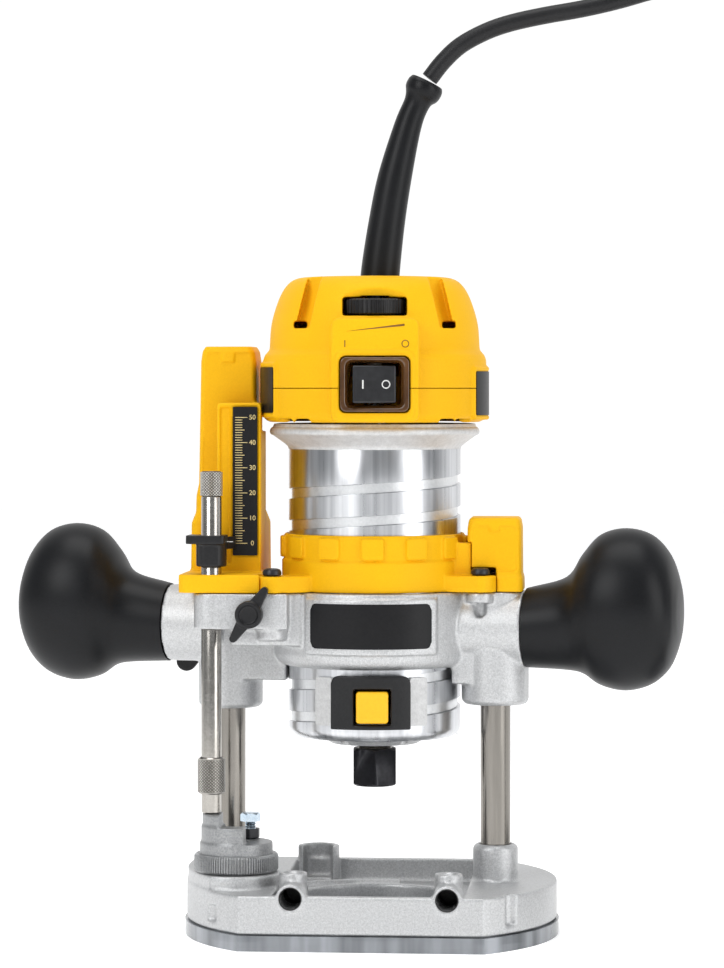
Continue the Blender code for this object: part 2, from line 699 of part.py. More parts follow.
def wing_knob():
    """The knob that clamps the depth rod: a hub, two wings and a threaded shank."""
    wing = around(circle((0, 0), 3.4), circle((9.6, 0), 1.9, 16))
    other = [(-x, -y) for x, y in wing]
    body = joined(rod(5.4, 0, 6.4, 20, 0.6), prism(wing, 0.8, 5.4), prism(other, 0.8, 5.4))
    return joined(body, rod(2.0, -10.5, 1, 16))


def make_controls(carriage, finish):
    lever = frame("plunge_lock_axis", carriage, LEVER_AT)
    body = moved(facing_front(plunge_lock_lever()), 0, 6, 0)
    place("plunge_lock_lever", body, finish["black"], lever)
    knob = frame("wing_knob_axis", carriage, WING_AT)
    place("wing_knob", facing_front(moved(wing_knob(), turn=57)), finish["black"], knob)
    latch = frame("clamp_latch_axis", carriage, (*LATCH_AT, 0))
    place("clamp_latch", clamp_latch(), finish["black"], latch)


# ---------------------------------------------------------------- motor

def motor_can():
    """The turned can with its flange, its end wall and the seat of the lower bearing."""
    outline = [(8.0, CAN_BOTTOM), (30.5, CAN_BOTTOM)]
    outline += arc((30.5, CAN_BOTTOM + 4), 4.0, -60, 0, 2)
    outline += [(CAN_RADIUS, 193.6), (41.6, 198.6), (41.6, CAN_TOP), (38.5, CAN_TOP), (CAN_BORE, 197)]
    outline += [(CAN_BORE, 84.5), (17.6, 84.5), (17.6, 92.4), (15.3, 92.4), (15.3, 85), (8.0, 84.5)]
    window = prism(rectangle(-8.1, 6.1, -45, -26), 85.6, 99.3)
    return cut(turned(outline, 32), window)


def bearing_cover():
    disc = sleeve(9.0, 20.0, CAN_BOTTOM - 1.7, CAN_BOTTOM - GAP)
    return cut(disc, *[moved(rod(2.6, 60, 90, 12), x, x / 10) for x in (-13.5, 13.5)])


def cap_shell():
    """The whole cap before it is split: a dome with a front panel, open below."""
    outer = turned([(0, CAN_TOP + GAP), (42.0, CAN_TOP + GAP), *CAP_OUTLINE, (0, CAP_TOP)], 32)
    panel = prism(rectangle(-16.7, 17.3, -47.0, -30, 2), CAN_TOP + GAP, 243.5)
    ceiling = CAP_TOP - CAP_WALL
    inner = [(r - CAP_WALL, z) for r, z in CAP_OUTLINE[1:] if z < ceiling - 1]
    hollow = turned([(0, 200), (39.0, 200), (39.0, 205), *inner, (31.0, ceiling), (0, ceiling)], 32)
    window = prism(rectangle(-13.8, 13.8, -60, -30, 1), 207.6, 229.7)
    slot = prism(rectangle(DIAL_AT[0] - 12.8, DIAL_AT[0] + 12.8, -60, -14), 245.5, 252.9)
    vents = [prism(rectangle(x - 1.3, x + 1.3, -60, -15), VENT_BOTTOM, 270) for x in VENT_PLACES]
    boot_seat = moved(rod(8.2, 250, 270, 20), BOOT_X)
    return cut(joined(outer, panel), hollow, window, slot, *vents, boot_seat)


def cap_half(low, high):
    return boolean(cap_shell(), prism(rectangle(-70, 70, -70, 70), low, high), "INTERSECT")


def switch_frame():
    """The bezel round the rocker."""
    body = prism(rectangle(-13.4, 13.4, 208.0, 229.3, 2.0), 41.5, 48.4)
    opening = prism(rectangle(-10.2, 10.2, 210.2, 227.2, 1.0), 30, 60)
    return facing_front(cut(body, opening))


def rocker():
    """The rocker is proud at one end and flush at the other, and turns on an upright pin in its middle."""
    outline = [(-8.6, -2.0), (-8.6, -5.0), (0, -4.0), (8.4, -2.2), (8.0, 2.6), (-7.0, 2.6)]
    return prism(outline, 211.4, 226.0)


def speed_dial():
    wheel = prism(gear((0, 0), 11.6, 12.0, 12), 246.1, 252.3)
    return joined(wheel, rod(3.0, 240.0, 254.6, 16))


def lock_housing():
    band = prism(
        arc((0, 0), 39.6, -118, -67, 8) + arc((0, 0), CAN_RADIUS + GAP, -67, -118, 8), 83.6, 104.6
    )
    return cut(band, prism(rectangle(-8.1, 6.1, -45, -20), 85.6, 99.3))


def lock_button():
    """The spindle lock: a square button with a pin that slides towards the spindle."""
    button = prism(rectangle(-7.3, 5.3, 86.3, 98.6, 1.0), 30.0, 41.0)
    pin = moved(rod(1.8, 9.4, 31), y=96.2)
    return facing_front(joined(button, pin))


def stator():
    stack = sleeve(19.6, 31.0, 118, 168)
    slots = [moved(prism(rectangle(17, 25.5, -5, 5), 110, 180), turn=a) for a in (0, 180)]
    return cut(stack, *slots)


def brush(side):
    """A carbon brush in its brass holder."""
    holder = prism(rectangle(13.8, 28.5, -4.2, 4.2), 182, 191)
    carbon = prism(rectangle(11.9, 15, -3.0, 3.0), 183.3, 189.7)
    return moved(joined(holder, carbon), turn=0 if side > 0 else 180)


def cord_boot():
    """The strain relief: a tapered sleeve along the cord's first bend, with a thick rim."""
    stations = smooth(BOOT_STATIONS, 2)
    rings = []
    for i, (x, z, radius) in enumerate(stations):
        before, after = stations[max(i - 1, 0)], stations[min(i + 1, len(stations) - 1)]
        across = Vector((after[1] - before[1], 0, before[0] - after[0])).normalized()
        angles = [2 * math.pi * k / 12 for k in range(12)]
        rings.append([
            Vector((x, 0, z)) + radius * (across * math.cos(a) + Vector((0, math.sin(a), 0))) for a in angles
        ])
    return lofted(rings)


def make_motor(motor, finish):
    place("motor_can", motor_can(), finish["turned"], motor)
    place("bearing_cover", bearing_cover(), finish["cast"], motor)
    place("cap_lower", cap_half(CAN_TOP, CAP_SPLIT), finish["yellow"], motor)
    place("cap_upper", cap_half(CAP_SPLIT + GAP, CAP_TOP + 1), finish["yellow"], motor)
    place("switch_frame", switch_frame(), finish["amber"], motor)
    place("stator", stator(), finish["laminated"], motor)
    place("brush_left", brush(-1), finish["brass"], motor)
    place("brush_right", brush(1), finish["brass"], motor)
    place("front_bearing", sleeve(7.3, 15.0, 85.3, 92.2), finish["steel"], motor)
    place("rear_bearing", sleeve(4.3, 9.5, 222, 229, 20), finish["steel"], motor)
    place("lock_housing", lock_housing(), finish["black"], motor)
    place("cord_boot", cord_boot(), finish["rubber"], motor)
    switch = frame("rocker_axis", motor, (*ROCKER_AT, 0))
    place("rocker", rocker(), finish["black"], switch)
    dial = frame("dial_axis", motor, (*DIAL_AT, 0))
    place("speed_dial", speed_dial(), finish["black"], dial)
    place("lock_button", lock_button(), finish["button"], motor)


def spindle():
    """The shaft: a thin upper end, a bearing seat, a neck for the lock and the collet's socket."""
    outline = [(0, 240), (4.0, 240), (4.0, 112), (7.0, 111), (7.0, 99.2), (4.9, 99.0), (4.9, 93.4)]
    outline += [(7.0, 93.2), (7.0, 62.2), (5.6, 62.2), (4.2, 84.0), (0, 84.0)]
    return turned(outline[::-1], 24)


def collet():
    cone = turned([(3.2, 61.4), (5.2, 61.4), (3.9, 82.0), (3.2, 82.0)], 20)
    return cut(cone, prism(rectangle(0, 9, -0.4, 0.4), 64.0, 90))


def collet_nut():
    body = prism(hexagon((0, 0), 17.0, 30), 57.9, 73.0)
    return cut(body, rod(7.3, 61.2, 80, 20), rod(5.5, 61.0, 80, 20), rod(4.1, 50, 80, 20))


def fan():
    hub = sleeve(7.4, 10.0, 100.8, 110.4, 20)
    disc = sleeve(9.0, 28.0, 101, 102.6, 28)
    blades = [moved(prism(rectangle(9.3, 27.5, -0.7, 0.7), 102, 110), turn=45 * i + 4) for i in range(8)]
    return joined(hub, disc, *blades)


def make_rotor(rotor, finish):
    place("spindle", spindle(), finish["steel"], rotor)
    place("collet", collet(), finish["steel"], rotor)
    place("collet_nut", collet_nut(), finish["black_metal"], rotor)
    place("cooling_fan", fan(), finish["black"], rotor)
    slots = [moved(prism(rectangle(16.2, 25, -0.9, 0.9), 110, 170), turn=45 * i) for i in range(8)]
    core = sleeve(4.4, 19.0, 120, 166)
    place("armature", cut(core, *slots), finish["laminated"], rotor)
    place("commutator", sleeve(4.4, 11.4, 180, 193), finish["brass"], rotor)


# ---------------------------------------------------------------- cord

def make_cord(root, finish):
    """The free cord: its lead down to the floor, the ring that holds its turns, and the plug."""
    curve = bpy.data.curves.new("cord_lead", "CURVE")
    curve.dimensions = "3D"
    curve.bevel_depth = CORD_RADIUS * METRES
    curve.bevel_resolution = 2
    curve.use_fill_caps = True
    points = evenly(smooth(CORD_ROUTE, 8), 6 * CORD_RADIUS)
    spline = curve.splines.new("POLY")
    spline.points.add(len(points) - 1)
    for slot, point in zip(spline.points, points):
        slot.co = (*(point * METRES), 1)
    curve.materials.append(finish["rubber"])
    lead = bpy.data.objects.new("cord_lead", curve)
    bpy.context.scene.collection.objects.link(lead)
    lead.parent = root
    ring = sleeve(COIL_INNER, COIL_OUTER, COIL_LOW, COIL_LOW + COIL_HEIGHT, 32)
    place("cord_coil", moved(ring, *COIL_AT), finish["rubber"], root)
    place("plug", moved(plug(), *PLUG_AT), finish["rubber"], root)


def evenly(curve, spacing):
    """Points of the curve about this far apart, with both ends."""
    lengths = [0.0]
    for a, b in zip(curve, curve[1:]):
        lengths.append(lengths[-1] + (b - a).length)
    count = round(lengths[-1] / spacing)
    points = []
    j = 0
    for i in range(count + 1):
        target = lengths[-1] * i / count
        while j < len(lengths) - 2 and lengths[j + 1] < target:
            j += 1
        t = (target - lengths[j]) / (lengths[j + 1] - lengths[j])
        points.append(curve[j].lerp(curve[j + 1], t))
    return points


def plug():
    """A moulded two-pin plug that lies along -Y: its sleeve, its body and its pins."""
    sleeve_part = moved(turned([(0, 0), (4.4, 0), (6.2, 26), (0, 26)], 20), tilt=90)
    body = prism(around(rectangle(-8, 8, -26, -24, 0), rectangle(-17.5, 17.5, -54, -36, 5)), -7.5, 7.5)
    pins = [moved(rod(2.4, 53, 73, 16, 0.6), x, tilt=90) for x in (-9.5, 9.5)]
    return joined(sleeve_part, body, *pins)


def finishes():
    return {
        "cast": material("cast_aluminium", (0.62, 0.63, 0.64), 0.5, 0.7),
        "turned": material("turned_aluminium", (0.80, 0.81, 0.83), 0.25, 1.0),
        "steel": material("polished_steel", (0.62, 0.60, 0.56), 0.2, 1.0),
        "zinc": material("zinc_plated_steel", (0.60, 0.66, 0.72), 0.3, 1.0),
        "screw": material("screw_steel", (0.45, 0.45, 0.46), 0.35, 1.0),
        "spring": material("spring_steel", (0.30, 0.30, 0.31), 0.4, 1.0),
        "black_metal": material("black_oxide_steel", (0.03, 0.03, 0.03), 0.4, 0.6),
        "laminated": material("laminated_iron", (0.35, 0.34, 0.33), 0.5, 0.8),
        "brass": material("brass", (0.72, 0.52, 0.22), 0.3, 1.0),
        "bronze": material("bronze_bush", (0.50, 0.34, 0.18), 0.4, 1.0),
        "yellow": material("yellow_plastic", (0.95, 0.48, 0.01), 0.4),
        "button": material("yellow_button", (0.95, 0.55, 0.01), 0.4),
        "black": material("black_plastic", (0.02, 0.02, 0.02), 0.45),
        "rubber": material("soft_black_rubber", (0.025, 0.025, 0.025), 0.7),
        "amber": material("amber_plastic", (0.45, 0.22, 0.04), 0.2, 0.0, 0.8),
        "clear": material("clear_polycarbonate", (0.80, 0.85, 0.88), 0.1, 0.0, 0.4),
    }


def main():
    for obj in list(bpy.data.objects):
        bpy.data.objects.remove(obj)
    finish = finishes()
    root = frame("spindle_axis", at=(SPINDLE_X, SPINDLE_Y, 0))
    carriage = frame("carriage_slide", root)
    motor = frame("motor_axis", carriage, turn=MOTOR_TURN)
    make_base(root, finish)
    make_turret(frame("turret_axis", root, (*TURRET_AT, 0)), finish)
    slide = frame("depth_rod_axis", carriage, (*ROD_AT, 0))
    stop = frame("pointer_axis", slide)
    make_depth_rod(slide, stop, frame("adjuster_axis", slide), finish)
    make_carriage(carriage, finish)
    make_controls(carriage, finish)
    make_motor(motor, finish)
    make_rotor(frame("rotor_axis", motor), finish)
    make_cord(root, finish)


main()
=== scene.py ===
"""The looks of the plunge router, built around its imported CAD.

Lengths are millimetres in the CAD's drawing frame: Z is the spindle's axis, Z = 0 is the sole, and the tool's
front is -Y. A shape becomes metres, and goes to the spindle's place, only in place().
"""

import math

import bmesh
import bpy
from mathutils import Matrix, Vector


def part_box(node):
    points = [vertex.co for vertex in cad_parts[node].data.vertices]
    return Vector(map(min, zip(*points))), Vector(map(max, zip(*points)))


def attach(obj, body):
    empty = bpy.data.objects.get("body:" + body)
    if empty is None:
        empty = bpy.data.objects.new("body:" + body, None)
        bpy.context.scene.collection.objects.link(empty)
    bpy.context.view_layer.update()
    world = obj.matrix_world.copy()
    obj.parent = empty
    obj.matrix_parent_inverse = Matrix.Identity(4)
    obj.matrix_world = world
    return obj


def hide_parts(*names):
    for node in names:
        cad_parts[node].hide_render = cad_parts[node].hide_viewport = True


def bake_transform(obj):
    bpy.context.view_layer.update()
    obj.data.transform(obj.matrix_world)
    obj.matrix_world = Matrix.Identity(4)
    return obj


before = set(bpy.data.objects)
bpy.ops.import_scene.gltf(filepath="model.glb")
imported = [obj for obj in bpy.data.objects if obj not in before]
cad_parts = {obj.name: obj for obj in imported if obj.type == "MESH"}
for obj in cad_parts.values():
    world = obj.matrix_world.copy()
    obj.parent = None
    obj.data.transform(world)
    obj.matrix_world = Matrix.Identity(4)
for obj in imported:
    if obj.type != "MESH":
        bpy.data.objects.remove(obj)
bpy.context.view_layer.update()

METRES = 0.001
LOW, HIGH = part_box("spindle")
SPINDLE = Vector(((LOW.x + HIGH.x) / 2, (LOW.y + HIGH.y) / 2, 0))
MOTOR_TURN = 4.5
LINE_TURN = -9.0

BASE_RADIUS = 74.0
BASE_CENTRE = (-0.8, -3.0)
BASE_FRONT = -60.5
BASE_BACK = 56.0
SOLE_THICKNESS = 6.0
FLOOR_TOP = 12.0
WALL_TOP = 21.3
PAD_TOP = 26.7
LEFT_POST_AT = -60.0
RIGHT_POST_AT = 49.5
POST_RADIUS = 6.0
CASTING_TOP = 136.5
RING_BOTTOM = 106.5
RING_RADIUS = 40.0
BORE_RADIUS = 34.9
HANDLE_HEIGHT = 122.0
NECK_RADIUS = 15.5
LEFT_HANDLE_AT = -85.5
RIGHT_HANDLE_AT = 62.5
COLLAR_BOTTOM = CASTING_TOP + 0.3
COLLAR_TOP = 159.3
COLLAR_RADIUS = 37.2
TOWER_TOP = 234.0
ROD_AT = (-62.0, -32.0)
ROD_RADIUS = 4.0
TURRET_AT = (-52.5, -29.0)
LUG_SCREWS = ((-38.0, -32.0), (43.5, -20.0))
LUG_ROOTS = ((-24, -21), (27, -14))
WING_AT = (-46.0, -38.9, 128.7)
LEVER_AT = (-66.0, 27.7, 125.0)
LATCH_AT = (17.0, 45.0)
LATCH_BOLT_HEIGHT = 121.5
CAN_RADIUS = 34.5
CAN_TOP = 203.4
CAP_RADIUS = 44.8
CAP_SPLIT = 217.0
CAP_TOP = 261.5
SCALE_ZERO = 155.6
FENCE_RODS_AT = (-28.0, 32.5)
FENCE_ROD_HEIGHT = 20.4
FENCE_SCREWS_BACK = -48
GROOVE_LEAD = 12.7
GROOVE_START = 168.4 - 7 * GROOVE_LEAD
GROOVE_DEPTH_AT = 33.2


# ---------------------------------------------------------------- outlines

def arc(centre, radius, first, last, steps):
    angles = [math.radians(first + (last - first) * i / steps) for i in range(steps + 1)]
    return [(centre[0] + radius * math.cos(a), centre[1] + radius * math.sin(a)) for a in angles]


def circle(centre, radius, sides=64):
    return arc(centre, radius, 0, 360 - 360 / sides, sides - 1)


def rectangle(left, right, front, back, corner=0.0, steps=6):
    if not corner:
        return [(left, front), (right, front), (right, back), (left, back)]
    return (
        arc((right - corner, front + corner), corner, -90, 0, steps)
        + arc((right - corner, back - corner), corner, 0, 90, steps)
        + arc((left + corner, back - corner), corner, 90, 180, steps)
        + arc((left + corner, front + corner), corner, 180, 270, steps)
    )


def around(*outlines):
    """The convex outline that a band stretched around these outlines would take."""
    points = sorted({(round(x, 6), round(y, 6)) for outline in outlines for x, y in outline})

    def half(ordered):
        kept = []
        for x, y in ordered:
            while len(kept) > 1:
                (ax, ay), (bx, by) = kept[-2:]
                if (bx - ax) * (y - ay) - (by - ay) * (x - ax) > 1e-9:
                    break
                kept.pop()
            kept.append((x, y))
        return kept[:-1]

    return half(points) + half(points[::-1])


def flat_sided(radius, front, back, steps=48):
    low = math.degrees(math.asin((front - BASE_CENTRE[1]) / radius))
    high = math.degrees(math.asin((back - BASE_CENTRE[1]) / radius))
    return arc(BASE_CENTRE, radius, low, high, steps) + arc(BASE_CENTRE, radius, 180 - high, 180 - low, steps)


def hexagon(centre, across_flats, turn=0.0):
    return arc(centre, across_flats / math.sqrt(3), turn, turn + 300, 5)


def gear(centre, inner, outer, teeth):
    points = []
    for tooth in range(teeth):
        start = 360 * tooth / teeth
        points += arc(centre, inner, start, start + 90 / teeth, 1)
        points += arc(centre, outer, start + 180 / teeth, start + 270 / teeth, 1)
    return points


def smooth(points, steps):
    """A Catmull-Rom curve through the points, each span cut into this many steps."""
    points = [Vector(p) for p in points]
    ends = [2 * points[0] - points[1]] + points + [2 * points[-1] - points[-2]]
    curve = []
    for before, start, end, after in zip(ends, ends[1:], ends[2:], ends[3:]):
        for i in range(steps):
            t = i / steps
            curve.append(
                0.5 * (
                    2 * start + (end - before) * t
                    + (2 * before - 5 * start + 4 * end - after) * t * t
                    + (3 * start - before - 3 * end + after) * t * t * t
                )
            )
    return curve + [points[-1]]


# ---------------------------------------------------------------- solids

def finished(bm):
    bmesh.ops.recalc_face_normals(bm, faces=bm.faces)
    mesh = bpy.data.meshes.new("shape")
    bm.to_mesh(mesh)
    bm.free()
    return mesh


def lofted(rings):
    """A closed skin over rings of equally many points, with flat ends."""
    bm = bmesh.new()
    loops = [[bm.verts.new(point) for point in ring] for ring in rings]
    for low, high in zip(loops, loops[1:]):
        for i in range(len(low)):
            j = (i + 1) % len(low)
            bm.faces.new((low[i], low[j], high[j], high[i]))
    bm.faces.new(loops[0])
    bm.faces.new(loops[-1])
    return finished(bm)


def prism(outline, low, high):
    return lofted([[(x, y, z) for x, y in outline] for z in (low, high)])


def disc(radius, low, high, sides=64):
    return prism(circle((0, 0), radius, sides), low, high)


def turned(outline, sides=96):
    """A (radius, height) outline turned about Z. A radius of 0 lies on the axis."""
    bm = bmesh.new()
    rows = []
    for radius, height in outline:
        spokes = 1 if radius == 0 else sides
        ring = arc((0, 0), radius, 0, 360 - 360 / sides, sides - 1)[:spokes]
        rows.append([bm.verts.new((x, y, height)) for x, y in ring])
    for first, second in zip(rows, rows[1:] + rows[:1]):
        for i in range(sides):
            corners = [first[i % len(first)], first[(i + 1) % len(first)]]
            corners += [second[(i + 1) % len(second)], second[i % len(second)]]
            corners = list(dict.fromkeys(corners))
            if len(corners) > 2:
                bm.faces.new(corners)
    return finished(bm)


def rod(radius, low, high, sides=48, chamfer=0.0):
    outline = [(0, low), (radius - chamfer, low), (radius, low + chamfer)]
    outline += [(radius, high - chamfer), (radius - chamfer, high), (0, high)]
    return turned(list(dict.fromkeys(outline)), sides)


def sleeve(inner, outer, low, high, sides=96):
    return turned([(inner, low), (outer, low), (outer, high), (inner, high)], sides)


def tube(path, radius, sides=16):
    """A round skin along a path, or along one radius for each of its points."""
    points = [Vector(p) for p in path]
    radii = radius if isinstance(radius, (list, tuple)) else [radius] * len(points)
    side = Vector((0, 1, 0))
    rings = []
    for i, point in enumerate(points):
        ahead = (points[min(i + 1, len(points) - 1)] - points[max(i - 1, 0)]).normalized()
        side = (side - ahead * side.dot(ahead)).normalized()
        other = ahead.cross(side)
        rings.append([
            point + radii[i] * (side * math.cos(a) + other * math.sin(a))
            for a in (2 * math.pi * k / sides for k in range(sides))
        ])
    return lofted(rings)


def moved(mesh, x=0.0, y=0.0, z=0.0, turn=0.0, tilt=0.0):
    rotation = Matrix.Rotation(math.radians(turn), 4, "Z") @ Matrix.Rotation(math.radians(tilt), 4, "X")
    mesh.transform(Matrix.Translation((x, y, z)) @ rotation)
    return mesh


def facing_front(mesh):
    return moved(mesh, tilt=90)


def upright(outline, near, far):
    """A slab with a rectangle's outline, seen from the front, between two distances in front of the axis."""
    return facing_front(prism(rectangle(*outline), near, far))


def evaluated(obj):
    """The mesh that the object's modifiers make. The object goes."""
    bpy.context.scene.collection.objects.link(obj)
    graph = bpy.context.evaluated_depsgraph_get()
    made = bpy.data.meshes.new_from_object(obj.evaluated_get(graph))
    bpy.data.objects.remove(obj)
    return made


def boolean(first, second, operation):
    base = bpy.data.objects.new("first", first)
    tool = bpy.data.objects.new("second", second)
    modifier = base.modifiers.new("Boolean", "BOOLEAN")
    modifier.operation = operation
    modifier.solver = "EXACT"
    modifier.object = tool
    made = evaluated(base)
    bpy.data.objects.remove(tool)
    return made


def joined(first, *others):
    for other in others:
        first = boolean(first, other, "UNION")
    return first


def cut(first, *cutters):
    for cutter in cutters:
        first = boolean(first, cutter, "DIFFERENCE")
    return first


def beside(*meshes):
    """One mesh of several that don't meet."""
    bm = bmesh.new()
    for mesh in meshes:
        bm.from_mesh(mesh)
    made = bpy.data.meshes.new("shape")
    bm.to_mesh(made)
    bm.free()
    return made


def softened(mesh, voxel=0.7, passes=5, keep=0.45):
    """The shape with the round edges and fillets of a casting or a moulding."""
    obj = bpy.data.objects.new("soft", mesh)
    remesh = obj.modifiers.new("Remesh", "REMESH")
    remesh.mode = "VOXEL"
    remesh.voxel_size = voxel
    relax = obj.modifiers.new("Smooth", "SMOOTH")
    relax.factor = 0.5
    relax.iterations = passes
    thin = obj.modifiers.new("Decimate", "DECIMATE")
    thin.ratio = keep
    return evaluated(obj)


def on_line(distance, across=0.0):
    """A point on the line of the posts, and how far behind it."""
    turn = math.radians(LINE_TURN)
    return (
        distance * math.cos(turn) - across * math.sin(turn),
        distance * math.sin(turn) + across * math.cos(turn),
    )


# ---------------------------------------------------------------- materials

def surface(
    name, dark, light, roughness, metallic=0.0, grain=400.0, bump=0.1, stretch=(1, 1, 1), depth=0.0002,
    blotch=30.0, **sockets
):
    """A procedural finish: two colours in soft blotches, roughness between two values, and a fine grain."""
    made = bpy.data.materials.new(name)
    made.use_nodes = True
    nodes, links = made.node_tree.nodes, made.node_tree.links

    def fill(node, **values):
        for socket, value in values.items():
            node.inputs[socket.replace("_", " ")].default_value = value
        return node

    def node(kind, **values):
        return fill(nodes.new("ShaderNode" + kind), **values)

    shader = fill(nodes["Principled BSDF"], Metallic=metallic, **sockets)
    mapping = node("Mapping", Scale=stretch)
    links.new(node("TexCoord").outputs["Object"], mapping.inputs["Vector"])
    fine = node("TexNoise", Scale=grain, Detail=4)
    broad = node("TexNoise", Scale=blotch, Detail=3)
    both = node("Mix")
    both.data_type = "FLOAT"
    both.inputs[0].default_value = 0.5
    for noise, socket in ((broad, 2), (fine, 3)):
        links.new(mapping.outputs["Vector"], noise.inputs["Vector"])
        links.new(noise.outputs["Fac"], both.inputs[socket])
    ramp = node("ValToRGB")
    for stop, position, colour in zip(ramp.color_ramp.elements, (0.35, 0.65), (dark, light)):
        stop.position = position
        stop.color = (*colour, 1)
    links.new(both.outputs[0], ramp.inputs["Fac"])
    links.new(ramp.outputs["Color"], shader.inputs["Base Color"])
    rough = node("MapRange", From_Min=0.3, From_Max=0.7, To_Min=roughness[0], To_Max=roughness[1])
    links.new(both.outputs[0], rough.inputs["Value"])
    links.new(rough.outputs["Result"], shader.inputs["Roughness"])
    raised = node("Bump", Strength=bump, Distance=depth)
    links.new(fine.outputs["Fac"], raised.inputs["Height"])
    links.new(raised.outputs["Normal"], shader.inputs["Normal"])
    return made


FINISH = {
    "cast": surface(
        "cast_aluminium", (0.44, 0.445, 0.45), (0.62, 0.625, 0.63), (0.40, 0.50), 0.7, grain=2200, bump=0.5,
        blotch=1100
    ),
    "blasted": surface(
        "blasted_aluminium", (0.26, 0.265, 0.27), (0.40, 0.405, 0.41), (0.38, 0.48), 0.75, grain=2200,
        bump=0.5, blotch=1100
    ),
    # Its colour blotches are drawn out upright into light and dark vertical streaks: painted reflection on
    # the can.
    "turned": surface(
        "turned_aluminium", (0.46, 0.47, 0.49), (0.74, 0.75, 0.77), (0.26, 0.32), 1.0, grain=500, bump=0.004,
        stretch=(1, 1, 0.02), depth=0.0001, blotch=110, Anisotropic=0.6, Anisotropic_Rotation=0.25
    ),
    "steel": surface(
        "polished_steel", (0.21, 0.197, 0.178), (0.29, 0.272, 0.248), (0.18, 0.26), 1.0, grain=900,
        bump=0.03, stretch=(1, 1, 0.05), depth=0.0001, blotch=60
    ),
    "rod_steel": surface(
        "rod_steel", (0.36, 0.34, 0.31), (0.48, 0.46, 0.43), (0.18, 0.26), 1.0, grain=900, bump=0.02
    ),
    "satin": surface(
        "satin_steel", (0.56, 0.54, 0.50), (0.70, 0.68, 0.64), (0.24, 0.34), 1.0, grain=900, bump=0.03
    ),
    "zinc": surface(
        "zinc_plated_steel", (0.42, 0.52, 0.62), (0.66, 0.74, 0.80), (0.2, 0.32), 1.0, grain=800, bump=0.08
    ),
    "screw": surface("screw_steel", (0.30, 0.30, 0.31), (0.50, 0.50, 0.51), (0.28, 0.42), 1.0, bump=0.1),
    "spring": surface("spring_steel", (0.22, 0.22, 0.23), (0.36, 0.36, 0.37), (0.3, 0.45), 1.0, bump=0.1),
    "black_metal": surface(
        "black_oxide_steel", (0.014, 0.014, 0.017), (0.032, 0.032, 0.038), (0.32, 0.44), 0.3, grain=700,
        bump=0.12
    ),
    "laminated": surface(
        "laminated_iron", (0.18, 0.17, 0.16), (0.42, 0.41, 0.40), (0.4, 0.6), 0.9, grain=1200, bump=0.6,
        stretch=(0.02, 0.02, 1)
    ),
    "brass": surface("brass_fittings", (0.58, 0.40, 0.16), (0.78, 0.58, 0.26), (0.25, 0.4), 1.0, bump=0.1),
    "bronze": surface("bronze_bush", (0.42, 0.28, 0.14), (0.56, 0.38, 0.20), (0.35, 0.5), 1.0, bump=0.2),
    "yellow": surface(
        "yellow_plastic", (0.78, 0.41, 0.002), (0.85, 0.46, 0.004), (0.52, 0.60), grain=1500, bump=0.10,
        depth=0.00015, blotch=20, IOR=1.25
    ),
    "button": surface(
        "yellow_button", (0.86, 0.44, 0.002), (0.91, 0.49, 0.004), (0.34, 0.42), grain=900, bump=0.06
    ),
    "black": surface(
        "black_plastic", (0.006, 0.006, 0.007), (0.013, 0.013, 0.014), (0.34, 0.44), grain=1200, bump=0.12,
        IOR=1.38
    ),
    "gloss": surface(
        "glossy_black_plastic", (0.012, 0.012, 0.013), (0.022, 0.022, 0.024), (0.14, 0.22), grain=300,
        bump=0.05
    ),
    "rubber": surface(
        "soft_black_rubber", (0.004, 0.0042, 0.005), (0.007, 0.0075, 0.009), (0.36, 0.43), grain=1800,
        bump=0.10, depth=0.0001, blotch=60, IOR=1.3
    ),
    "cord": surface(
        "cord_rubber", (0.007, 0.007, 0.008), (0.013, 0.013, 0.014), (0.38, 0.5), grain=900, bump=0.1,
        IOR=1.35
    ),
    "label": surface(
        "label_black", (0.005, 0.005, 0.006), (0.009, 0.009, 0.010), (0.34, 0.42), grain=900, bump=0.05,
        IOR=1.3
    ),
    "print": surface("pale_print", (0.62, 0.50, 0.22), (0.74, 0.60, 0.28), (0.5, 0.6), bump=0.05),
    "white": surface("white_print", (0.60, 0.60, 0.58), (0.74, 0.74, 0.72), (0.5, 0.6), bump=0.05),
    "mark": surface("dark_mark", (0.16, 0.075, 0.002), (0.22, 0.10, 0.004), (0.5, 0.6), bump=0.05),
    "amber": surface(
        "amber_boot", (0.045, 0.017, 0.004), (0.10, 0.040, 0.008), (0.08, 0.14), grain=200, bump=0.03,
        Coat_Weight=0.6
    ),
    # Lighter aluminium: on the name plate's rim it is painted highlight.
    "bright": surface(
        "bright_aluminium", (0.66, 0.67, 0.68), (0.78, 0.79, 0.80), (0.30, 0.38), 1.0, grain=900, bump=0.02
    ),
    "flange": surface(
        "motor_casting", (0.50, 0.50, 0.50), (0.64, 0.64, 0.64), (0.46, 0.56), 0.4, grain=1500, bump=0.3,
        blotch=400
    ),
    # Dark steel for the sleeves under the knurls: painted shade in the knurls' valleys.
    "shade": surface(
        "painted_knurl_shade", (0.10, 0.095, 0.085), (0.16, 0.15, 0.14), (0.4, 0.5), 1.0, grain=900, bump=0.1
    ),
    # Dark aluminium for the sleeves in the fence's rod holes: painted shade inside the holes.
    "bore": surface(
        "painted_hole_shade", (0.045, 0.045, 0.045), (0.085, 0.085, 0.085), (0.45, 0.6), 0.6, grain=900,
        bump=0.2
    ),
    "floor": surface(
        "pale_floor", (0.86, 0.86, 0.86), (0.90, 0.90, 0.90), (0.7, 0.8), grain=60, bump=0.02, blotch=3,
        Emission_Color=(1, 1, 1, 1), Emission_Strength=0.5
    ),
    # Its colours are drawn out upright into pale and dark streaks: painted reflection in the clear sole.
    "clear": surface(
        "clear_polycarbonate", (0.03, 0.036, 0.042), (0.38, 0.40, 0.43), (0.05, 0.12), grain=60, bump=0.10,
        stretch=(1, 1, 0.1), depth=0.0004, blotch=90, IOR=1.45, Transmission_Weight=0.25
    ),
}
